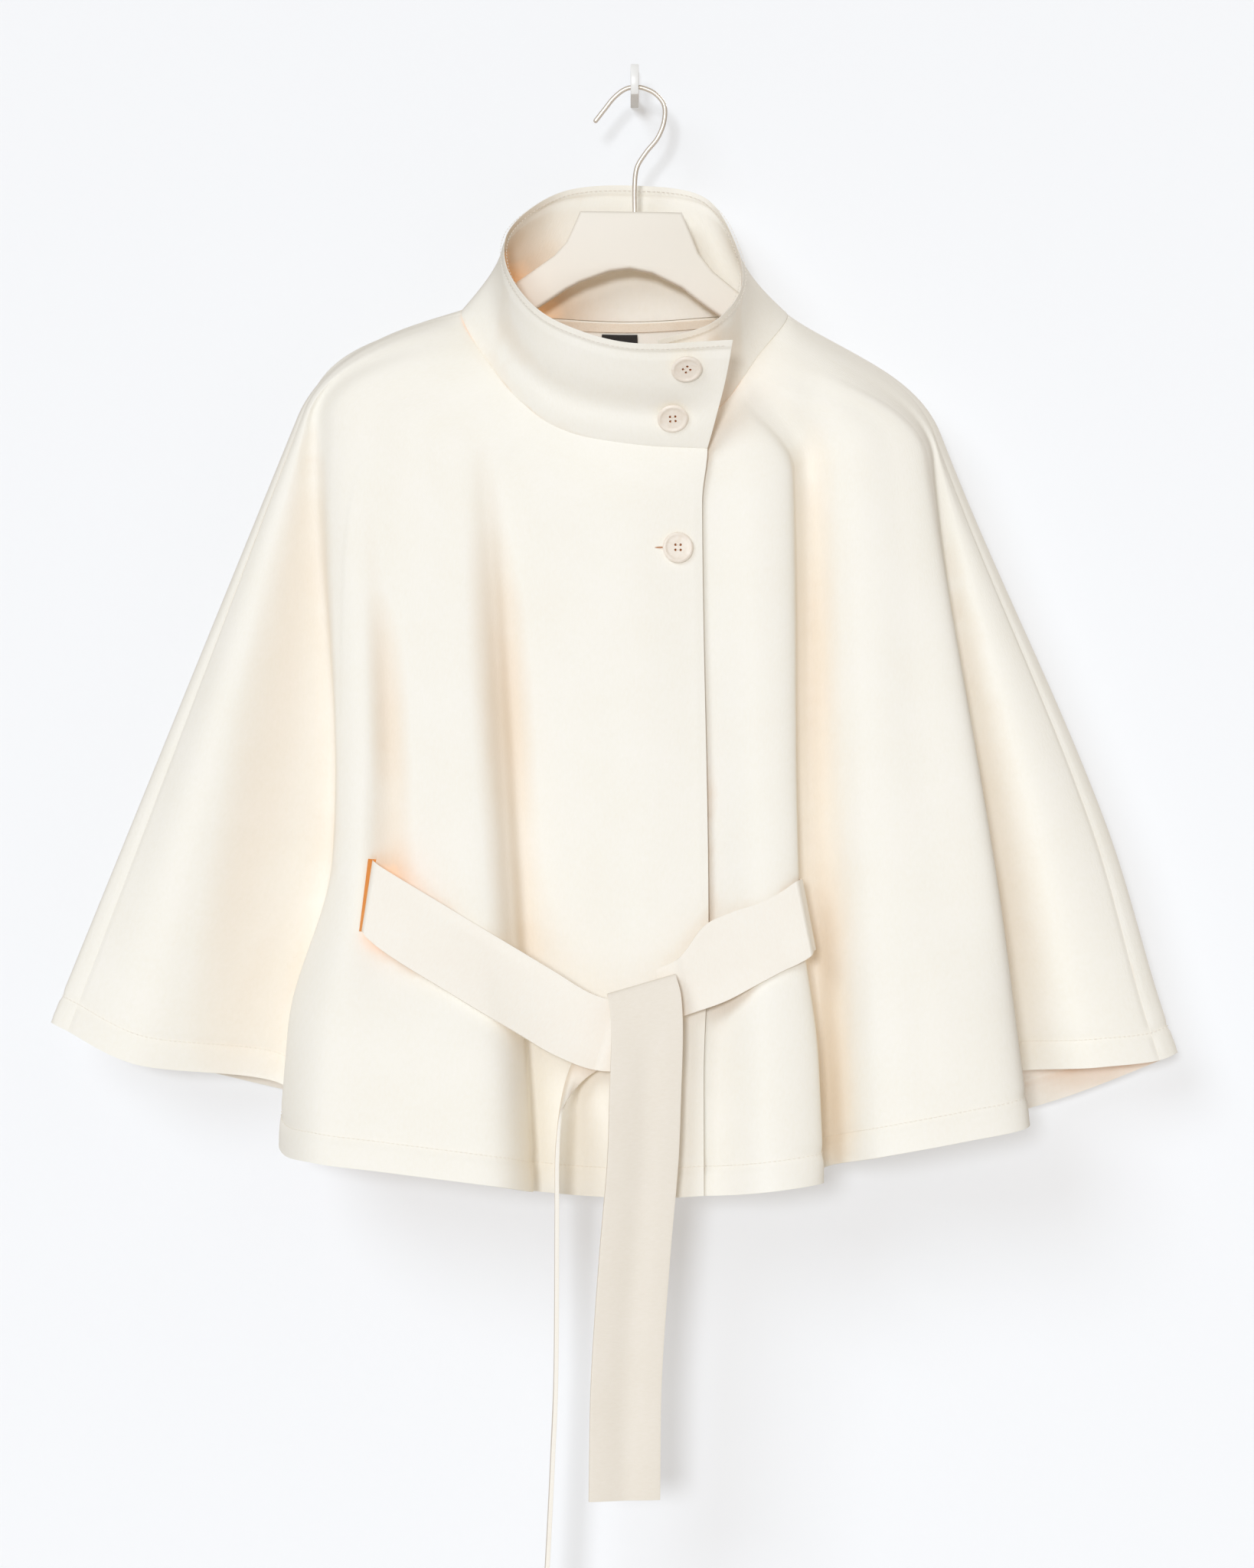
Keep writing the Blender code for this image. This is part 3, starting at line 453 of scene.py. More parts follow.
def cape_grid(first, last, columns):
    """The middle surface of one panel: its rows run from the neck seam to the hem's edge."""
    lines = []
    for line in LINES:
        length = np.linalg.norm([line.hx - line.yx, line.hy - line.yy, line.hz - line.yz])
        hem_v = 1 - HEM_ROWS / length * (1 - NECK_PART)
        neck_v = NECK_PART * np.arange(NECK_ROWS) / NECK_ROWS
        body_v = np.linspace(NECK_PART, hem_v[0], BODY_ROWS, endpoint=False)
        lines.append(fall_line(line, np.concatenate([neck_v, body_v, hem_v])))
    places, step = np.linspace(LINE_KNOTS[AT[first]], LINE_KNOTS[AT[last]], columns, retstep=True)
    places = np.sort(np.concatenate([places, [places[0] + step * EDGE_COLUMN, places[-1] - step * EDGE_COLUMN]]))
    flat = through(LINE_KNOTS, np.array(lines).reshape(len(LINES), -1), places)
    return flat.reshape(len(places), -1, 3).transpose(1, 0, 2)


# Soft troughs pressed into the fronts: the ends in X and Z, the width to -X and to +X of the line, the depth, how much
# painted shade the crease adds to the cloth's warm tint, and whether it lies on the arm behind the folds
Crease = namedtuple("Crease", "name x0 z0 x1 z1 left right depth tone arm")
CREASES = [
    Crease("right_shoulder", -208, -262, -180, -540, 12, 14, 3.0, 0.16, False),
    Crease("beside_right_slit", -190, -380, -178, -650, 12, 14, 4.5, 0.3, False),
    Crease("right_chest", -119, -222, -88, -560, 22, 15, 4.5, 0.2, False),
    Crease("beside_right_fold", -106, -330, -84, -720, 24, 15, 5.5, 0.3, False),
    Crease("under_right_run", -150, -690, -158, -790, 14, 14, 1.8, 0.0, False),
    Crease("right_arm_valley", -236, -230, -330, -800, 30, 34, 4.0, 0.26, True),
    Crease("left_shoulder", 133, -200, 131, -560, 12, 15, 5.0, 0.14, False),
    Crease("left_chest", 200, -380, 212, -560, 18, 18, 1.2, 0.0, False),
    Crease("left_hem", 205, -650, 214, -770, 12, 12, 1.2, 0.0, False),
]
ARM_BEHIND, FRONT_BEFORE = -95, -75  # the Y that the arms lie behind, and the one that the folds lie in front of
CREASE_FADE = 2.5  # the higher, the nearer to its ends a crease stays deep


def pressed(points, kind):
    """The summed depth of the creases, or their painted shade (tone), at each point of the fronts."""
    total = np.zeros(points.shape[:-1])
    for crease in CREASES:
        start, end = np.array([crease.x0, crease.z0], float), np.array([crease.x1, crease.z1], float)
        along = end - start
        offset = points[..., [0, 2]] - start
        share = (offset @ along) / (along @ along)
        aside = np.linalg.norm(offset - np.clip(share, 0, 1)[..., None] * along, axis=-1)
        to_right = along[0] * offset[..., 1] - along[1] * offset[..., 0] > 0
        width = np.where(to_right, crease.right, crease.left)
        fade = np.clip(1 - np.abs(2 * share - 1) ** CREASE_FADE, 0, 1)
        here = points[..., 1] > ARM_BEHIND if crease.arm else points[..., 1] < FRONT_BEFORE
        total += trough(aside, width, getattr(crease, kind)) * fade * here
    return total


def hemmed(grid, towards):
    """The grid with its turned hem a little proud and a shallow groove where the hem is stitched."""
    out = normals_of(grid, towards)
    heights = np.zeros(len(grid))
    heights[-len(HEM_ROWS) :] = 0.2 * np.clip((HEM + 1.5 - HEM_ROWS) / 3, 0, 1) - trough(HEM_ROWS - HEM, 1.3, 0.3)
    return grid + out * heights[:, None, None]


# The belt slits are cut through both fronts where the belt goes in. The pull of the belt opens the right one upwards
SLIT_WIDE, SLIT_TALL, SLIT_GAPE = 4.0, 54.5, 2.0


def slit_cutter(name, size, centre, lean, gape=0.0):
    """A box that leans in the plane of the wall and is wider by `gape` at its top."""
    place = Matrix.Translation(Vector(centre) / 1000) @ Matrix.Rotation(radians(lean), 4, "Y")
    matrix = place @ Matrix.Diagonal((*[side / 1000 for side in size], 1))

    def wedge(bm, m):
        for corner in bmesh.ops.create_cube(bm, size=1.0, matrix=m)["verts"]:
            if (m.inverted() @ corner.co).x < 0:
                corner.co.x -= gape / 1000 * ((m.inverted() @ corner.co).z + 0.5)

    return solid_cutter(name, matrix, wedge)


CUTS = {
    "right_front": [slit_cutter("right_slit", (SLIT_WIDE, 40, SLIT_TALL), (-200.4, -118, -610), 8.6, SLIT_GAPE)],
    "left_front": [slit_cutter("left_slit", (24, SLIT_WIDE, SLIT_TALL), (121, -119, -623), -11)],
    "back": [],
}
Panel = namedtuple("Panel", "node first last columns towards flat share")
PANELS = [
    Panel("right_front", "front_edge", "right_seam", 170, (0, -1, 0), (0.62, 0.62), 0.25),
    Panel("left_front", "left_seam", "under_edge", 190, (0, -1, 0), (0.62, 0.62), 0.23),
    Panel("back", "right_seam", "left_seam", 150, (0, 1, 0), (0.9, 0.68), 0.43),
]
panel_grids, panels = {}, {}
for panel in PANELS:
    grid = cape_grid(panel.first, panel.last, panel.columns)
    if panel.node != "back":
        grid[..., 1] += pressed(grid, "depth")
    grid = hemmed(grid, panel.towards)
    panel_grids[panel.node] = grid
    piece = cloth("cape_" + panel.node, grid, CLOTH, melton, CUTS[panel.node])
    panels[panel.node] = piece
    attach(piece, "root")
    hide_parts(panel.node)

# Belt
# Double cloth, 53 mm wide, its long edges sewn and turned. It goes round inside the back, comes out of both slits,
# is tied once at the front, and its two ends hang from the knot: one flat to the room, the other edge on.
BELT_CLOTH = 3.6
BELT_REST = 0.5  # clear of the cloth below
# Copies of the melton with painted shade: a touch deeper for the belt, and deeper again for its end that hangs flat
shaded_belt_melton = cloth_material(
    "melton_painted_shade_belt", "#FAF5EB", "#F8F2E7", "#FBF8F0", NAP_GRAIN, NAP_LENGTH, CLOUD, 0.0003, 0.95, 0.12
)
shaded_end_melton = cloth_material(
    "melton_painted_shade_end", "#EFE8DC", "#ECE4D7", "#F2EBE1", NAP_GRAIN, NAP_LENGTH, CLOUD, 0.0003, 0.95, 0.12
)


def tree_of(*objects):
    """A search tree of all the faces of some pieces."""
    points, faces = [], []
    for obj in objects:
        faces += [tuple(i + len(points) for i in side.vertices) for side in obj.data.polygons]
        points += [corner.co.copy() for corner in obj.data.vertices]
    return BVHTree.FromPolygons(points, faces)


fronts_tree = tree_of(panels["right_front"], panels["left_front"])


def front_of(x, z, reach=3.0):
    """The Y of the foremost cloth about a point of the front."""
    found = [
        fronts_tree.ray_cast(Vector((x + dx, -1000, z + dz)) / 1000, Vector((0, 1, 0)))[0]
        for dx in (-reach, 0, reach)
        for dz in (-reach, 0, reach)
    ]
    return min((hit.y * 1000 for hit in found if hit), default=0.0)


def taut(distances, limits):
    """A line drawn tight from the first to the last point, never behind the limits."""
    hull = []
    for point in zip(distances, limits):
        while len(hull) > 1:
            (a, b), (c, d) = hull[-2:]
            if (d - b) * (point[0] - a) >= (point[1] - b) * (c - a):
                hull.pop()
            else:
                break
        hull.append(point)
    return np.interp(distances, *zip(*hull))


def eased(values, passes):
    """A line of values with its corners rounded."""
    values = np.array(values, float)
    for _ in range(passes):
        values[1:-1] = (values[:-2] + 2 * values[1:-1] + values[2:]) / 4
    return values


belt_pieces = []


def belt_stretch(name, node, rungs, lie=None, per_rung=14, across=20, look=shaded_belt_melton, groove=None):
    """A band of double cloth between two edges. A rung is its upper or left point, then its lower or right one.

    Between the two rungs of `lie` it is drawn tight over the cloth of the fronts. `groove` is a lengthwise trough:
    its place across, its width as a share, its depth, and the rung where it starts.
    """
    rungs = np.array(rungs, float)
    stations = np.linspace(0, len(rungs) - 1, (len(rungs) - 1) * per_rung + 1)
    rows = through(range(len(rungs)), rungs, stations)
    share = np.linspace(0, 1, across + 1)[:, None, None]
    grid = rows[None, :, :3] + (rows[None, :, 3:] - rows[None, :, :3]) * share
    if lie:
        laid = np.flatnonzero((stations >= lie[0]) & (stations <= lie[1]))
        for line in grid:
            steps = np.linalg.norm(np.diff(line[laid][:, [0, 2]], axis=0), axis=1)
            length_along = np.concatenate([[0], np.cumsum(steps)])
            limits = [min(front_of(line[i][0], line[i][2]) - BELT_CLOTH / 2 - BELT_REST, line[i][1]) for i in laid]
            drawn = np.minimum(eased(taut(length_along, limits), 30), limits)
            line[laid, 1] = eased(drawn, 6)
    if groove:
        place, width, depth, start = groove
        fade = np.clip((stations - start) / 1.0, 0, 1)
        grid[..., 1] += trough(share[..., 0] - place, width, depth) * fade
    piece = cloth(name, grid, BELT_CLOTH, look)
    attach(piece, "root")
    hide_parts(node)
    belt_pieces.append(piece)


belt_stretch(
    "belt_from_right_slit",
    "belt_run_right",
    [
        (-196.6, -104, -584, -204.6, -104, -636.4),
        (-196.6, -111, -584, -204.6, -111, -636.4),
        (-196.3, -118.5, -584, -204.4, -118.5, -636.4),
        (-194.6, -123, -585.2, -203.4, -128.5, -637.2),
        (-190, -125, -588.5, -201, -130.5, -640.5),
        (-175, -124, -597.7, -192, -128, -648),
        (-150, -100, -612.5, -174, -100, -660),
        (-120, -100, -630.4, -147, -100, -676),
        (-90, -100, -648.2, -117, -100, -693.7),
        (-60, -100, -666, -87, -100, -711.5),
        (-34, -100, -681.5, -61, -100, -727),
        (-14, -147.5, -686.5, -30, -144, -738.5),
        (8, -147.3, -685, 4, -144, -738),
    ],
    lie=(4, 11),
)
belt_stretch(
    "belt_from_left_slit",
    "belt_run_left",
    [
        (102.2, -114.5, -596, 112.2, -114.5, -648),
        (109, -118, -596.4, 119, -118, -648.4),
        (116, -119, -596.8, 126, -119, -648.8),
        (121.3, -120.5, -597, 131.3, -120.5, -649.2),
        (123.3, -126, -597.4, 133.3, -126, -650),
        (121.5, -133, -598, 131.5, -133.5, -651),
        (117, -139, -600, 128.5, -142, -655),
        (106, -130, -607.5, 119, -130, -660.5),
        (90, -130, -615.5, 108, -130, -665.5),
        (70, -130, -622, 88, -130, -676),
        (50, -130, -632, 66, -130, -687.5),
        (32, -147.1, -655, 42, -147.1, -696),
        (14, -147.1, -664, 20, -147.1, -703),
    ],
    lie=(6, 11),
)
belt_stretch(
    "belt_inside_back",
    "belt_inside",
    [
        (-196.6, -103.6, -584, -204.6, -103.6, -636.4),
        (-194, -88, -588, -200, -88, -640),
        (-178, -70, -600, -180, -68, -652.5),
        (-120, -55, -622, -120, -52, -675),
        (-20, -50, -638, -20, -46, -691),
        (52, -56, -626, 52, -53, -679),
        (80, -82, -610, 84, -80, -663),
        (88, -103, -599, 97, -103, -651.5),
        (93, -112, -596.5, 103, -112, -648.5),
        (100.7, -114, -596, 110.7, -114, -648),
    ],
)
belt_stretch(
    "belt_wide_end",
    "belt_tail_wide",
    [
        (-20.5, -152, -688, 29.5, -152, -674),
        (-21.6, -153, -683.5, 28.5, -153, -668.5),
        (-21.6, -156.5, -681.5, 28.5, -156.5, -667),
        (-21.2, -160, -684, 29.5, -160, -669.5),
        (-19.5, -162, -695, 33, -162, -684),
        (-18.6, -165.5, -716, 34, -161.5, -712),
        (-20, -170, -760, 32.5, -162, -759),
        (-21.6, -174, -806, 30.5, -164, -806),
        (-27.5, -173, -876, 24.5, -163, -876),
        (-33.4, -171, -966, 18.4, -161, -966),
        (-35, -168, -1054, 17.2, -158, -1054),
    ],
    look=shaded_end_melton,
    groove=(0.5, 0.22, 2.2, 4.6),
)
belt_stretch(
    "belt_tied",
    "belt_knot",
    [
        (-14, -135.5, -690, 31, -142, -678),
        (-14, -135, -702, 31, -142, -698),
        (-14, -135, -722, 31, -142.5, -722),
        (-14, -136.5, -738, 31, -144, -738),
        (-14, -140.5, -744.5, 31, -147, -744.5),
        (-14, -147, -745, 31, -151, -745),
        (-14, -152, -738, 31, -155, -738),
    ],
)
belt_stretch(
    "belt_narrow_end",
    "belt_tail_narrow",
    [
        (-13.2, -130.9, -704, -13.8, -131.3, -733),
        (-31, -130.5, -711, -33, -131, -742),
        (-44, -126, -728, -45.5, -137.5, -753),
        (-52, -124, -748, -52.5, -157, -763),
        (-56.7, -123, -772, -56, -172.5, -772),
        (-59.2, -123, -802, -58, -175.8, -802),
        (-59.5, -122, -850, -58.2, -175, -850),
        (-60.2, -121, -960, -58.8, -174, -960),
        (-62.5, -120.5, -1022, -61.2, -173.5, -1022),
        (-65, -120, -1076, -63.8, -173, -1076),
        (-68, -119.5, -1130, -66.8, -172.5, -1130),
    ],
)

# Topstitching
# Cotton thread, sewn by machine with 3.5 mm stitches that sink into the nap: along the hem and the collar's rim.
THREAD_COLOUR = "#F8F1E6"
STITCH_PITCH, STITCH_LENGTH, THREAD_WIDTH = 0.0037, 0.0028, 0.0005
# Painted shade: the warm tan that cream shows deep inside a narrow hole, on the buttons' holes and the buttonhole's
# opening
painted_hole_shade = new_material("shaded_cut_edge", Base_Color=linear("#C4824C"), Roughness=0.95)[0]
# Cotton thread: a pale line, soft and without gloss
thread = new_material("cotton_thread", Base_Color=linear(THREAD_COLOUR), Roughness=0.75)[0]


def stitch_tree():
    """Sews a row of stitches along each line of the mesh that it is given."""
    tree = bpy.data.node_groups.new("row_of_stitches", "GeometryNodeTree")
    tree.interface.new_socket("Geometry", in_out="INPUT", socket_type="NodeSocketGeometry")
    for name in ("Pitch", "Stitch length", "Thread width"):
        tree.interface.new_socket(name, in_out="INPUT", socket_type="NodeSocketFloat")
    tree.interface.new_socket("Thread", in_out="INPUT", socket_type="NodeSocketMaterial")
    tree.interface.new_socket("Geometry", in_out="OUTPUT", socket_type="NodeSocketGeometry")
    given = add(tree, "NodeGroupInput").outputs
    line = add(tree, "GeometryNodeMeshToCurve", {"Mesh": given["Geometry"]})
    spaced = add(
        tree, "GeometryNodeResampleCurve", {"Curve": line.outputs[0], "Length": given["Pitch"]}, mode="LENGTH"
    )
    tangent = add(tree, "GeometryNodeInputTangent")
    turned = add(tree, "FunctionNodeAlignRotationToVector", {"Vector": tangent.outputs[0]}, axis="X")
    bead = add(tree, "GeometryNodeMeshUVSphere", {"Segments": 6, "Rings": 4, "Radius": 0.5})
    size = add(
        tree,
        "ShaderNodeCombineXYZ",
        {"X": given["Stitch length"], "Y": given["Thread width"], "Z": given["Thread width"]},
    )
    shaped = add(tree, "GeometryNodeTransform", {"Geometry": bead.outputs[0], "Scale": size.outputs[0]})
    laid = add(
        tree,
        "GeometryNodeInstanceOnPoints",
        {"Points": spaced.outputs[0], "Instance": shaped.outputs[0], "Rotation": turned.outputs[0]},
    )
    real = add(tree, "GeometryNodeRealizeInstances", {"Geometry": laid.outputs[0]})
    looks = add(tree, "GeometryNodeSetMaterial", {"Geometry": real.outputs[0], "Material": given["Thread"]})
    add(tree, "NodeGroupOutput", {"Geometry": looks.outputs[0]})
    return tree


ROW_OF_STITCHES = stitch_tree()


def sew(name, lines, pitch=STITCH_PITCH, length=STITCH_LENGTH, width=THREAD_WIDTH, look=thread):
    """Stitches along lines of points in millimetres, as one piece."""
    points, edges = [], []
    for line in lines:
        edges += [(len(points) + i, len(points) + i + 1) for i in range(len(line) - 1)]
        points += (np.asarray(line) / 1000).tolist()
    mesh = bpy.data.meshes.new(name)
    mesh.from_pydata(points, edges, [])
    mesh.materials.append(look)
    obj = bpy.data.objects.new(name, mesh)
    bpy.context.scene.collection.objects.link(obj)
    sewn = obj.modifiers.new("stitches", "NODES")
    sewn.node_group = ROW_OF_STITCHES
    values = {"Pitch": pitch, "Stitch length": length, "Thread width": width, "Thread": look}
    for item in ROW_OF_STITCHES.interface.items_tree:
        if item.in_out == "INPUT" and item.name in values:
            sewn[item.identifier] = values[item.name]
    obj = plain_mesh(obj)
    obj.data.shade_smooth()
    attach(obj, "root")
    return obj


HEM_PROUD, RIM_PROUD = 0.05, 0.1  # how far the thread's middle stands out of the cloth
COLLAR_TALL = 95.0  # from the neck seam to the rim
hem_row = int(np.argmin(np.abs(HEM_ROWS - HEM))) - len(HEM_ROWS)
for panel in PANELS:
    grid = panel_grids[panel.node]
    out = normals_of(grid, panel.towards)
    sew("hem_stitching_" + panel.node, [grid[hem_row] + out[hem_row] * (CLOTH / 2 + HEM_PROUD)])

rim_row = int(np.argmin(np.abs((1 - collar_t) * COLLAR_TALL - RIM_STITCH)))
rim_out = collar_normals[rim_row] * (COLLAR_CLOTH / 2 + RIM_PROUD)
sew("rim_stitching", [(collar_grid[rim_row] + rim_out * side)[2:-2] for side in (-1, 1)])

# Neck tape and label
# A flat woven cotton tape covers the raw edge of the neck seam inside the back, and a plain dark satin label hangs
# from it.
TAPE_COLOUR, TAPE_DEEP, TAPE_LIGHT = "#F2E6D4", "#EADBC6", "#F7EEE0"
LABEL_COLOUR, LABEL_DEEP, LABEL_LIGHT = "#2A2623", "#1E1B19", "#38332F"
# Woven cotton tape: flat and even, a little deeper than the wool
tape_cloth = cloth_material(
    "woven_cotton_tape", TAPE_COLOUR, TAPE_DEEP, TAPE_LIGHT, 0.0012, 0.0012, 0.02, 0.0002, 0.85, 0.05
)
# Dark satin label: near black, with a faint gloss along its threads
label_satin = cloth_material(
    "dark_satin_label", LABEL_COLOUR, LABEL_DEEP, LABEL_LIGHT, 0.0006, 0.004, 0.02, 0.0001, 0.5, 0.1
)


PATCH_CLOTH, PATCH_CLEAR = 0.8, 0.8  # their thickness, and how far they lie off the back


def back_patch(name, node, first, last, high, low, thick, look):
    """A flat piece sewn on the inside of the back, between two places along the seam and two down the cloth."""
    columns, rows = 40, 8
    v = np.linspace(high, low, rows)
    lines = [fall_line(line, v) for line in LINES]
    knots = np.interp(np.linspace(first, last, columns), range(len(LINES)), LINE_KNOTS)
    grid = through(LINE_KNOTS, np.array(lines).reshape(len(LINES), -1), knots)
    grid = grid.reshape(columns, rows, 3).transpose(1, 0, 2)
    grid = grid + normals_of(grid, (0, -1, 0)) * (CLOTH / 2 + PATCH_CLEAR + thick / 2)
    piece = cloth(name, grid, thick, look)
    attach(piece, "root")
    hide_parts(node)
    return piece


# Along the seam both are placed by the rows of the table of lines, and down the cloth by shares of a fall line
TAPE_PAST, TAPE_TOP, TAPE_BOTTOM = 0.6, 0.002, 0.0155
LABEL_MIDDLE, LABEL_HALF, LABEL_TOP, LABEL_BOTTOM = AT["back_centre"] - 0.1, 0.21, 0.0185, 0.044
back_patch(
    "neck_seam_tape", "neck_tape",
    AT["back_right_hollow"] - TAPE_PAST, AT["back_left_hollow"] + TAPE_PAST,
    TAPE_TOP, TAPE_BOTTOM, PATCH_CLOTH, tape_cloth,
)
back_patch(
    "plain_label", "neck_label",
    LABEL_MIDDLE - LABEL_HALF, LABEL_MIDDLE + LABEL_HALF,
    LABEL_TOP, LABEL_BOTTOM, PATCH_CLOTH, label_satin,
)

# Buttons and buttonholes
# Cast polyester, 23 mm, with a raised rim and four holes, sewn on with cream thread: two on the collar, and one on the
# front in front of its corded buttonhole.
BUTTON_WIDTH, BUTTON_THICK = 23.0, 3.4
HOLE_CIRCLE, HOLE_RADIUS = 2.7, 0.95
BUTTON_COLOUR = "#F1E6D6"
# Cast polyester: smooth, with a soft gloss and a faint pearly swirl
polyester, polyester_tree, polyester_shader = new_material(
    "cast_polyester", Base_Color=linear(BUTTON_COLOUR), Roughness=0.42, IOR=1.5
)
swirl_place = add(polyester_tree, "ShaderNodeTexCoord")
swirl = add(
    polyester_tree,
    "ShaderNodeTexNoise",
    {"Vector": swirl_place.outputs["Object"], "Scale": 160.0, "Detail": 3.0, "Distortion": 1.5},
)
pearl = add(polyester_tree, "ShaderNodeValToRGB", {"Fac": swirl.outputs["Fac"]})
pearl.color_ramp.elements[0].position, pearl.color_ramp.elements[1].position = 0.35, 0.7
pearl.color_ramp.elements[0].color, pearl.color_ramp.elements[1].color = linear("#F3E8DA"), linear("#F8F0E5")
polyester_tree.links.new(pearl.outputs[0], polyester_shader.inputs["Base Color"])
cast_skin = add(
    polyester_tree, "ShaderNodeBump", {"Height": swirl.outputs["Fac"], "Strength": 0.05, "Distance": 0.0002}
)
polyester_tree.links.new(cast_skin.outputs[0], polyester_shader.inputs["Normal"])

Disc = namedtuple("Disc", "name on x z turn")
BUTTONS = [
    Disc("button_collar_top", "collar", 36.5, -219.0, 40),
    Disc("button_collar_low", "collar", 26.8, -253.9, 5),
    Disc("button_front", "cape", 30.6, -351.0, 0),
]
half = BUTTON_WIDTH / 2
BUTTON_SAG = radians(12)  # the collar's buttons hang forward a little on their thread
BUTTON_PROFILE = [  # radius and height, from the middle of the face out over the rim and under to the middle
    (0, 2.45), (half - 4.2, 2.5), (half - 3.3, 2.65), (half - 2.6, 3.05), (half - 2.0, BUTTON_THICK),
    (half - 1.5, BUTTON_THICK + 0.05), (half - 0.6, BUTTON_THICK - 0.4), (half, 2.2), (half - 0.2, 1.4),
    (half - 1.4, 0.5), (half - 4, 0), (0, 0),
]


def lathed(name, profile, steps, look):
    """A round piece from a profile at +X that runs down its outer side, its axis on Z."""
    mesh = bpy.data.meshes.new(name)
    mesh.from_pydata([(r / 1000, 0, h / 1000) for r, h in profile], [(i, i + 1) for i in range(len(profile) - 1)], [])
    mesh.materials.append(look)
    obj = bpy.data.objects.new(name, mesh)
    bpy.context.scene.collection.objects.link(obj)
    screw = obj.modifiers.new("lathe", "SCREW")
    screw.steps = screw.render_steps = steps
    screw.use_merge_vertices, screw.merge_threshold = True, 0.00001
    return obj


BUTTON_CLEAR = 0.35  # of the cloth
HOLE_TALL, HOLE_MIDDLE = 12.0, 6.8  # the holes' cutters leave 0.8 mm of the button below them
STRAND_SHIFT, STRAND_PLACES = 0.15, np.linspace(-0.6, 0.6, 13)
BUTTONHOLE_WIDE, BUTTONHOLE_TALL, BUTTONHOLE_SHIFT = 23.0, 2.5, -5.5  # the ring of cord, its middle off the button's
CUT_START, CUT_END = -16.6, -10.0  # the part of the cut that shows beside the button, drawn as a strip of painted shade
collar_tree = tree_of(collar)


def hole_cutters(bm, matrix):
    """The four holes of a button, side by side on a circle."""
    for turn in range(4):
        along = pi / 4 + turn * pi / 2
        x, y = cos(along) * HOLE_CIRCLE, sin(along) * HOLE_CIRCLE
        hole = matrix @ Matrix.Translation((x / 1000, y / 1000, HOLE_MIDDLE / 1000))
        bmesh.ops.create_cone(
            bm, cap_ends=True, segments=20, radius1=HOLE_RADIUS / 1000, radius2=HOLE_RADIUS / 1000,
            depth=HOLE_TALL / 1000, matrix=hole,
        )


def on_front(x, z, proud):
    """The point of the fronts' outer face at a place, a little in front of it, in millimetres."""
    hit = fronts_tree.ray_cast(Vector((x, -1000, z)) / 1000, Vector((0, 1, 0)))[0]
    return tuple((hit - Vector((0, proud / 1000, 0))) * 1000)


for disc in BUTTONS:
    ground = collar_tree if disc.on == "collar" else fronts_tree
    place, normal = ground.ray_cast(Vector((disc.x, -1000, disc.z)) / 1000, Vector((0, 1, 0)))[:2]
    up = (Vector((0, 0, 1)) - normal * normal.z).normalized()
    sag = BUTTON_SAG if disc.on == "collar" else 0
    upright = Matrix((up.cross(normal), up, normal)).transposed().to_4x4() @ Matrix.Rotation(sag, 4, "X")
    lift = normal * (BUTTON_CLEAR + sin(sag) * half * 0.8) / 1000
    seat = Matrix.Translation(place + lift) @ upright
    place_matrix = seat @ Matrix.Rotation(radians(disc.turn), 4, "Z")
    button = lathed(disc.name + "_cast", BUTTON_PROFILE, 64, polyester)
    tool = solid_cutter(disc.name + "_holes", Matrix.Identity(4), hole_cutters)
    # The holes stop short of the back, and their walls and floors take this painted shade
    tool.data.materials.append(painted_hole_shade)
    drilled = button.modifiers.new("holes", "BOOLEAN")
    drilled.operation, drilled.object, drilled.material_mode = "DIFFERENCE", tool, "TRANSFER"
    button.matrix_world = place_matrix
    tool.matrix_world = place_matrix
    button = plain_mesh(button)
    bpy.data.objects.remove(tool)
    button.data.shade_smooth()
    button.data.set_sharp_from_angle(angle=radians(40))
    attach(button, "root")
    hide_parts(disc.name)
    strands, reach = [], HOLE_CIRCLE * cos(pi / 4)
    for y in (-1, 1):
        for shift in (-STRAND_SHIFT, STRAND_SHIFT):
            arch = [(a * reach, y * reach + shift, 2.55 + 0.2 * (1 - a**4) - 1.2 * a**10) for a in STRAND_PLACES]
            strands.append([tuple(place_matrix @ (Vector(point) / 1000) * 1000) for point in arch])
    sew(disc.name + "_thread", strands, pitch=0.0003, length=0.0006, width=0.0003)
    if disc.on == "cape":
        middle, turns = disc.x + BUTTONHOLE_SHIFT, np.linspace(0, 2 * pi, 41)
        ring = [
            on_front(middle + BUTTONHOLE_WIDE / 2 * cos(turn), disc.z + BUTTONHOLE_TALL / 2 * sin(turn), 0.2)
            for turn in turns
        ]
        sew("buttonhole_cord", [ring], pitch=0.0006, length=0.0012, width=0.0006)
        # The buttonhole's opening: a thin strip of painted shade on the front
        cut = [on_front(x, disc.z, 0.08) for x in np.linspace(disc.x + CUT_START, disc.x + CUT_END, 12)]
        sew("buttonhole_painted_shade", [cut], pitch=0.0004, length=0.0012, width=0.0009, look=painted_hole_shade)

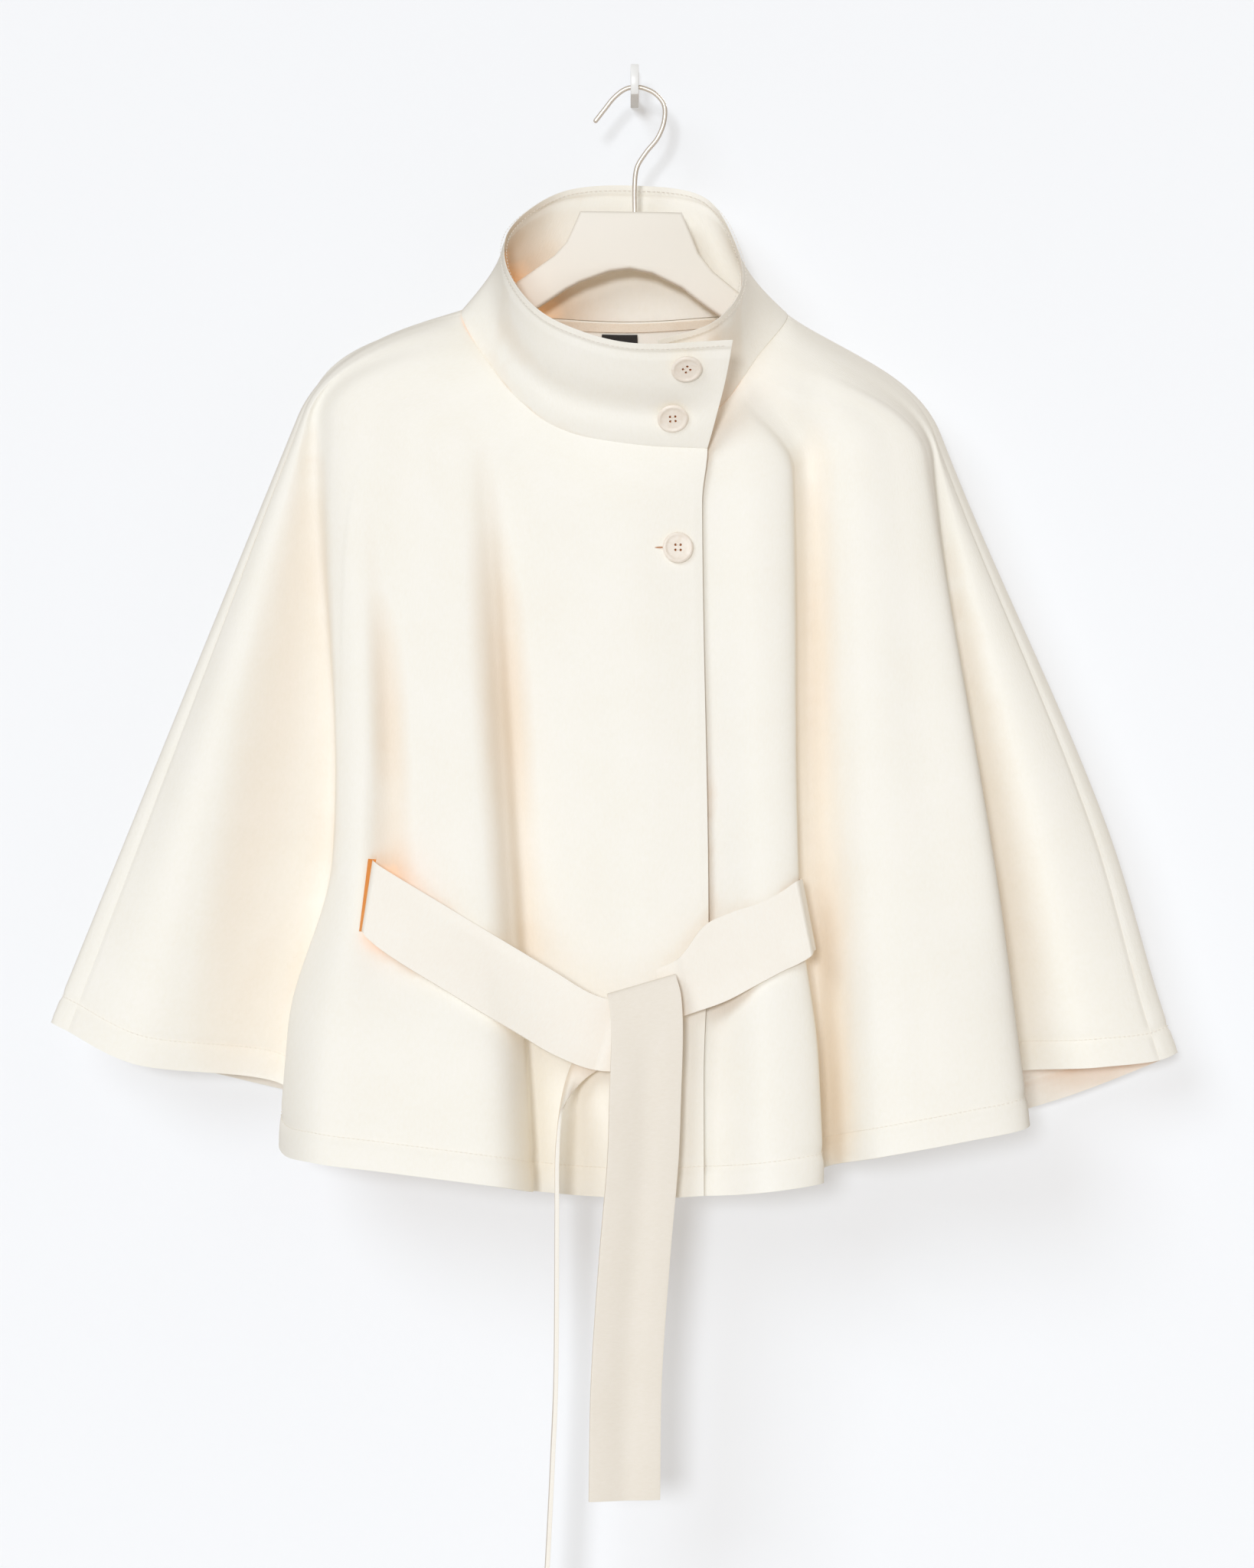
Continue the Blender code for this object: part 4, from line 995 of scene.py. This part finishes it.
# Hanger
# Moulded plastic, 11 mm thick with rounded edges, in a fine matt cream. Its plateau carries the wire, and its arms
# slope down inside the shoulders.
HANGER_PLANE, HANGER_THICK, HANGER_ROUND = -60.0, 11.0, 2.4
Arm = namedtuple("Arm", "x top bottom")
HANGER = [
    Arm(-231, -230, -240), Arm(-222, -220, -243), Arm(-205, -209.5, -233), Arm(-185, -199.5, -223.5),
    Arm(-165, -191, -215.5), Arm(-146, -184.5, -207.5), Arm(-130, -180.7, -200.5), Arm(-112, -165.5, -189),
    Arm(-94, -149.5, -178), Arm(-76, -137, -167.5), Arm(-62, -127, -158.5), Arm(-53, -117, -152.5),
    Arm(-47, -104, -149.5), Arm(-42.5, -93.5, -147), Arm(-20, -93.7, -139), Arm(-5, -93.9, -137),
    Arm(12, -94.1, -140.5), Arm(34.5, -94.5, -151.5), Arm(40, -107, -156), Arm(47, -125, -161.5),
    Arm(58, -139, -169.5), Arm(75, -153, -181), Arm(93, -167, -194), Arm(112, -181, -207),
    Arm(132, -194.5, -219.5), Arm(151, -207, -231.5), Arm(170, -219, -243), Arm(189, -232, -255),
    Arm(205, -245, -266), Arm(213, -254, -264),
]
# Moulded plastic: fine matt, its gloss and its cream changing slowly along the piece
moulded, moulded_tree, moulded_shader = new_material(
    "moulded_abs", Base_Color=linear("#F1ECE1"), Roughness=0.5, IOR=1.53
)
spark_place = add(moulded_tree, "ShaderNodeTexCoord")
spark = add(
    moulded_tree,
    "ShaderNodeTexNoise",
    {"Vector": spark_place.outputs["Object"], "Scale": 1100.0, "Detail": 2.0},
)
flow = add(moulded_tree, "ShaderNodeTexNoise", {"Vector": spark_place.outputs["Object"], "Scale": 14.0})
sheen_of = add(
    moulded_tree, "ShaderNodeMapRange", {"Value": flow.outputs["Fac"], "To Min": 0.42, "To Max": 0.58}
)
moulded_tree.links.new(sheen_of.outputs[0], moulded_shader.inputs["Roughness"])
tints = add(moulded_tree, "ShaderNodeValToRGB", {"Fac": flow.outputs["Fac"]})
tints.color_ramp.elements[0].color, tints.color_ramp.elements[1].color = linear("#EFE9DD"), linear("#F3EEE4")
moulded_tree.links.new(tints.outputs[0], moulded_shader.inputs["Base Color"])
etched = add(moulded_tree, "ShaderNodeBump", {"Height": spark.outputs["Fac"], "Strength": 0.25, "Distance": 0.0001})
moulded_tree.links.new(etched.outputs[0], moulded_shader.inputs["Normal"])


def flat_shape(name, loop, thick, edge, rounds, look, matrix):
    """A flat outline with an even thickness and rounded edges."""
    curve = bpy.data.curves.new(name, "CURVE")
    curve.dimensions, curve.fill_mode = "2D", "BOTH"
    curve.extrude = (thick / 2 - edge) / 1000
    curve.bevel_depth, curve.offset, curve.bevel_resolution = edge / 1000, -edge / 1000, rounds
    spline = curve.splines.new("POLY")
    spline.points.add(len(loop) - 1)
    spline.use_cyclic_u = True
    for point, (a, b) in zip(spline.points, loop):
        point.co = (a / 1000, b / 1000, 0, 1)
    curve.materials.append(look)
    obj = bpy.data.objects.new(name, curve)
    bpy.context.scene.collection.objects.link(obj)
    obj.matrix_world = matrix
    obj = plain_mesh(obj)
    bm = bmesh.new()
    bm.from_mesh(obj.data)
    bmesh.ops.remove_doubles(bm, verts=bm.verts, dist=0.00001)
    bmesh.ops.recalc_face_normals(bm, faces=bm.faces)
    bm.to_mesh(obj.data)
    bm.free()
    obj.data.shade_smooth()
    obj.data.set_sharp_from_angle(angle=radians(35))
    return obj


arm_loop = [(row.x, row.top) for row in HANGER] + [(row.x, row.bottom) for row in reversed(HANGER)]
hanger = flat_shape(
    "moulded_hanger", arm_loop, HANGER_THICK, HANGER_ROUND, 3, moulded,
    Matrix.Translation((0, HANGER_PLANE / 1000, 0)) @ Matrix.Rotation(pi / 2, 4, "X"),
)
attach(hanger, "root")
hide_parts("hanger")

# Wire hook of the hanger
# Drawn steel wire, 3.5 mm, bent round the wall hook with a lacquered satin finish, its end rounded off.
WIRE = 3.5
BENDS = [  # X and Z along the wire, from its root to its tip
    (-1.2, -94.2), (-1.2, -74), (0.6, -60), (7.5, -48.5), (16, -38), (21, -25.5), (21.2, -13), (15, -4.6),
    (6.5, -0.2), (-1.2, 0.9), (-9, -1), (-17, -7.3), (-24, -16), (-30.7, -24.6),
]
# Lacquered wire: a warm satin steel with fine lines from drawing
wire_steel, wire_tree, wire_shader = new_material(
    "lacquered_wire", Base_Color=linear("#E4DCD0"), Roughness=0.35, Metallic=0.45
)
wire_place = add(wire_tree, "ShaderNodeTexCoord")
drawn = add(wire_tree, "ShaderNodeMapping", {"Vector": wire_place.outputs["Object"], "Scale": (900.0, 900.0, 60.0)})
scratch = add(wire_tree, "ShaderNodeTexNoise", {"Vector": drawn.outputs[0], "Scale": 1.0, "Detail": 2.0})
wire_gloss = add(
    wire_tree, "ShaderNodeMapRange", {"Value": scratch.outputs["Fac"], "To Min": 0.26, "To Max": 0.42}
)
wire_tree.links.new(wire_gloss.outputs[0], wire_shader.inputs["Roughness"])


def tube(name, points, radii, look, sides=20):
    """A closed tube along a line of points, with its own radius at each."""
    points = np.asarray(points, float)
    ahead = unit(np.gradient(points, axis=0))
    side = unit(np.cross(ahead, (0.0, 1.0, 0.0)))
    other = np.cross(ahead, side)
    angles = np.linspace(0, 2 * pi, sides, endpoint=False)
    rings = points[:, None] + np.asarray(radii, float)[:, None, None] * (
        side[:, None] * np.cos(angles)[None, :, None] + other[:, None] * np.sin(angles)[None, :, None]
    )
    bm = bmesh.new()
    made = [[bm.verts.new(Vector(p) / 1000) for p in ring] for ring in rings]
    for low, high in zip(made, made[1:]):
        for i in range(sides):
            bm.faces.new((low[i], low[(i + 1) % sides], high[(i + 1) % sides], high[i]))
    bm.faces.new(made[0][::-1])
    bm.faces.new(made[-1])
    bmesh.ops.recalc_face_normals(bm, faces=bm.faces)
    mesh = bpy.data.meshes.new(name)
    bm.to_mesh(mesh)
    bm.free()
    mesh.materials.append(look)
    mesh.shade_smooth()
    mesh.set_sharp_from_angle(angle=radians(40))
    obj = bpy.data.objects.new(name, mesh)
    bpy.context.scene.collection.objects.link(obj)
    return obj


bend_rows = through(range(len(BENDS)), BENDS, np.linspace(0, len(BENDS) - 1, 160))
wire_path = np.column_stack([bend_rows[:, 0], np.full(len(bend_rows), HANGER_PLANE), bend_rows[:, 1]])
tip = unit(wire_path[-1] - wire_path[-2])
round_off = [(0.5, 0.97), (0.9, 0.86), (1.3, 0.67), (1.6, 0.4), (1.72, 0.12)]  # past the end, share of the radius
wire_path = np.vstack([wire_path, [wire_path[-1] + tip * step for step, _ in round_off]])
wire_radii = [WIRE / 2] * len(bend_rows) + [WIRE / 2 * share for _, share in round_off]
wire_hook = tube("hanger_wire", wire_path, wire_radii, wire_steel)
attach(wire_hook, "root")
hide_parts("hanger_hook")

# Wall hook
# A small strip of steel bent up into a finger, enamelled white. The wire lies in its saddle.
HOOK_WIDTH = 6.0
SADDLE = 0.9 - WIRE / 2 - 0.45
finger = HANGER_PLANE - WIRE / 2 - 0.8
HOOK_SIDE = [
    (0, 22), (-3, 22), (-3.4, SADDLE + 1.2), (-5, SADDLE), (finger, SADDLE), (finger - 0.6, SADDLE + 1.2),
    (finger - 1.0, 16), (finger - 2.0, 17.4), (finger - 3.4, 17.4), (finger - 4.4, 16), (finger - 4.4, SADDLE - 1.2),
    (finger - 3.0, SADDLE - 3.8), (finger - 0.8, SADDLE - 4.8), (0, SADDLE - 4.8),
]
# White enamel: glossy, with a faint orange peel
enamel, enamel_tree, enamel_shader = new_material("white_enamel", Base_Color=linear("#F1F1EF"), Roughness=0.3)
enamel_place = add(enamel_tree, "ShaderNodeTexCoord")
orange_peel = add(
    enamel_tree, "ShaderNodeTexNoise", {"Vector": enamel_place.outputs["Object"], "Scale": 700.0, "Detail": 1.0}
)
peel = add(enamel_tree, "ShaderNodeBump", {"Height": orange_peel.outputs["Fac"], "Strength": 0.1, "Distance": 0.0001})
enamel_tree.links.new(peel.outputs[0], enamel_shader.inputs["Normal"])
hook = flat_shape(
    "enamelled_wall_hook", HOOK_SIDE, HOOK_WIDTH, 0.45, 2, enamel,
    Matrix.Translation((-0.0012, 0, 0)) @ Matrix.Rotation(pi / 2, 4, "Z") @ Matrix.Rotation(pi / 2, 4, "X"),
)
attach(hook, "root")
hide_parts("wall_hook")

# Painted shade in the hollows
# Light that goes back and forth between cream cloth turns warm, and this is painted: the wool is painted a soft tan
# deep in its folds and inside the collar. Each place of the cloth keeps how far the cloth around it closes it in.
HOLLOW_REACH = 230.0  # cloth farther off than this doesn't count
HOLLOW_RAYS = 28
SAMPLE_STEP = 8.0  # one place in each cube of this side is looked at
SIDE_SHIFT = 5.0  # keeps the places on the two faces of the cloth apart
RAY_START, LEAST_ROOM = 4.0, 2.4  # rays start clear of the cloth, and a place with less room about it is left out
NEIGHBOURS, NEAR_ENOUGH = 6, 9.0  # each point takes the mean of these many places, the nearest counting most


def hemisphere(count):
    """Evenly spread directions about +Z, more of them near it."""
    turn = np.arange(count) * pi * (3 - 5**0.5)
    radius = np.sqrt((np.arange(count) + 0.5) / count)
    return np.column_stack([radius * np.cos(turn), radius * np.sin(turn), np.sqrt(1 - radius**2)])


def paint_shade_where_closed_in(pieces, gains, creased):
    """Writes on each piece, point by point, its painted shade: the share of its view that near cloth takes up."""
    tree = tree_of(*pieces)
    rays = hemisphere(HOLLOW_RAYS)
    for piece in pieces:
        mesh = piece.data
        count = len(mesh.vertices)
        points, normals = np.empty(count * 3, np.float32), np.empty(count * 3, np.float32)
        mesh.vertices.foreach_get("co", points)
        mesh.vertex_normals.foreach_get("vector", normals)
        points, normals = points.reshape(-1, 3) * 1000.0, unit(normals.reshape(-1, 3) + 1e-9)
        shifted = points + normals * SIDE_SHIFT
        cells = np.floor(shifted / SAMPLE_STEP).astype(np.int64)
        chosen = np.unique(cells, axis=0, return_index=True)[1]
        places = KDTree(len(chosen))
        shares = np.empty(len(chosen))
        for i, at in enumerate(chosen):
            outwards = np.array(Vector(normals[at]).to_track_quat("Z", "Y").to_matrix())
            start = Vector(points[at] + normals[at] * RAY_START) / 1000
            if tree.find_nearest(start)[3] < LEAST_ROOM / 1000:
                continue
            taken = 0.0
            for ray in rays @ outwards.T:
                near = tree.ray_cast(start, Vector(ray), HOLLOW_REACH / 1000)[3]
                if near is not None:
                    taken += 1 - near * 1000 / HOLLOW_REACH
            shares[i] = taken / HOLLOW_RAYS
            places.insert(Vector(shifted[at]), i)
        places.balance()
        values = np.empty(count, np.float32)
        for i in range(count):
            near = places.find_n(Vector(shifted[i]), NEIGHBOURS)
            weights = [1 / (distance * distance + NEAR_ENOUGH) for _, _, distance in near]
            values[i] = sum(w * shares[index] for w, (_, index, _) in zip(weights, near)) / sum(weights)
        values *= gains[piece](*points.T)
        if piece in creased:
            values += pressed(points, "tone")
        mesh.attributes.new("hollow", "FLOAT", "POINT").data.foreach_set("value", values)


def rise(value, start, length):
    """0 up to a start and 1 from a length past it, with an even rise between."""
    return np.clip((value - start) / length, 0, 1)


# How strongly each piece takes the painted shade. The light comes from the wearer's right, so the collar's inside is
# painted deepest on that side, and so are its outer face under the lapped end, the arm's inside at the left hem, and
# what shows through the right slit. Below the knot the fronts are lit by the wall and the floor, and are painted
# paler.
def collar_gain(x, y, z):
    return 2.2 * np.clip((10 - x) / 70, 0.05, 1) + 2.0 * rise(x, 50, 10) * rise(-y, 86, 10)


def behind_slit(x, z):
    """1 behind the middle of the right slit, falling to 0 round it."""
    return np.clip(1.3 - np.abs(x + 206) / 40, 0, 1) * np.clip(1.6 - np.abs(z + 612) / 80, 0, 1)


def back_gain(x, y, z):
    return 0.6 + 0.6 * rise(x, 300, 30) + 1.4 * behind_slit(x, z)


def right_front_gain(x, y, z):
    inside = rise(y, -112, 8) * rise(x, -232, 8)
    return 0.6 - 0.4 * rise(-z, 640, 40) * rise(x, -120, 20) + 1.2 * behind_slit(x, z) * inside


def left_front_gain(x, y, z):
    return 0.6 - 0.15 * rise(-z, 640, 60)


def belt_gain(x, y, z):
    return 0.5 + 0.9 * rise(-x, 185, 10)


GAINS = {
    collar: collar_gain,
    panels["back"]: back_gain,
    panels["right_front"]: right_front_gain,
    panels["left_front"]: left_front_gain,
    **dict.fromkeys(belt_pieces, belt_gain),
}
paint_shade_where_closed_in([collar, *panels.values(), *belt_pieces], GAINS, [panels["right_front"], panels["left_front"]])
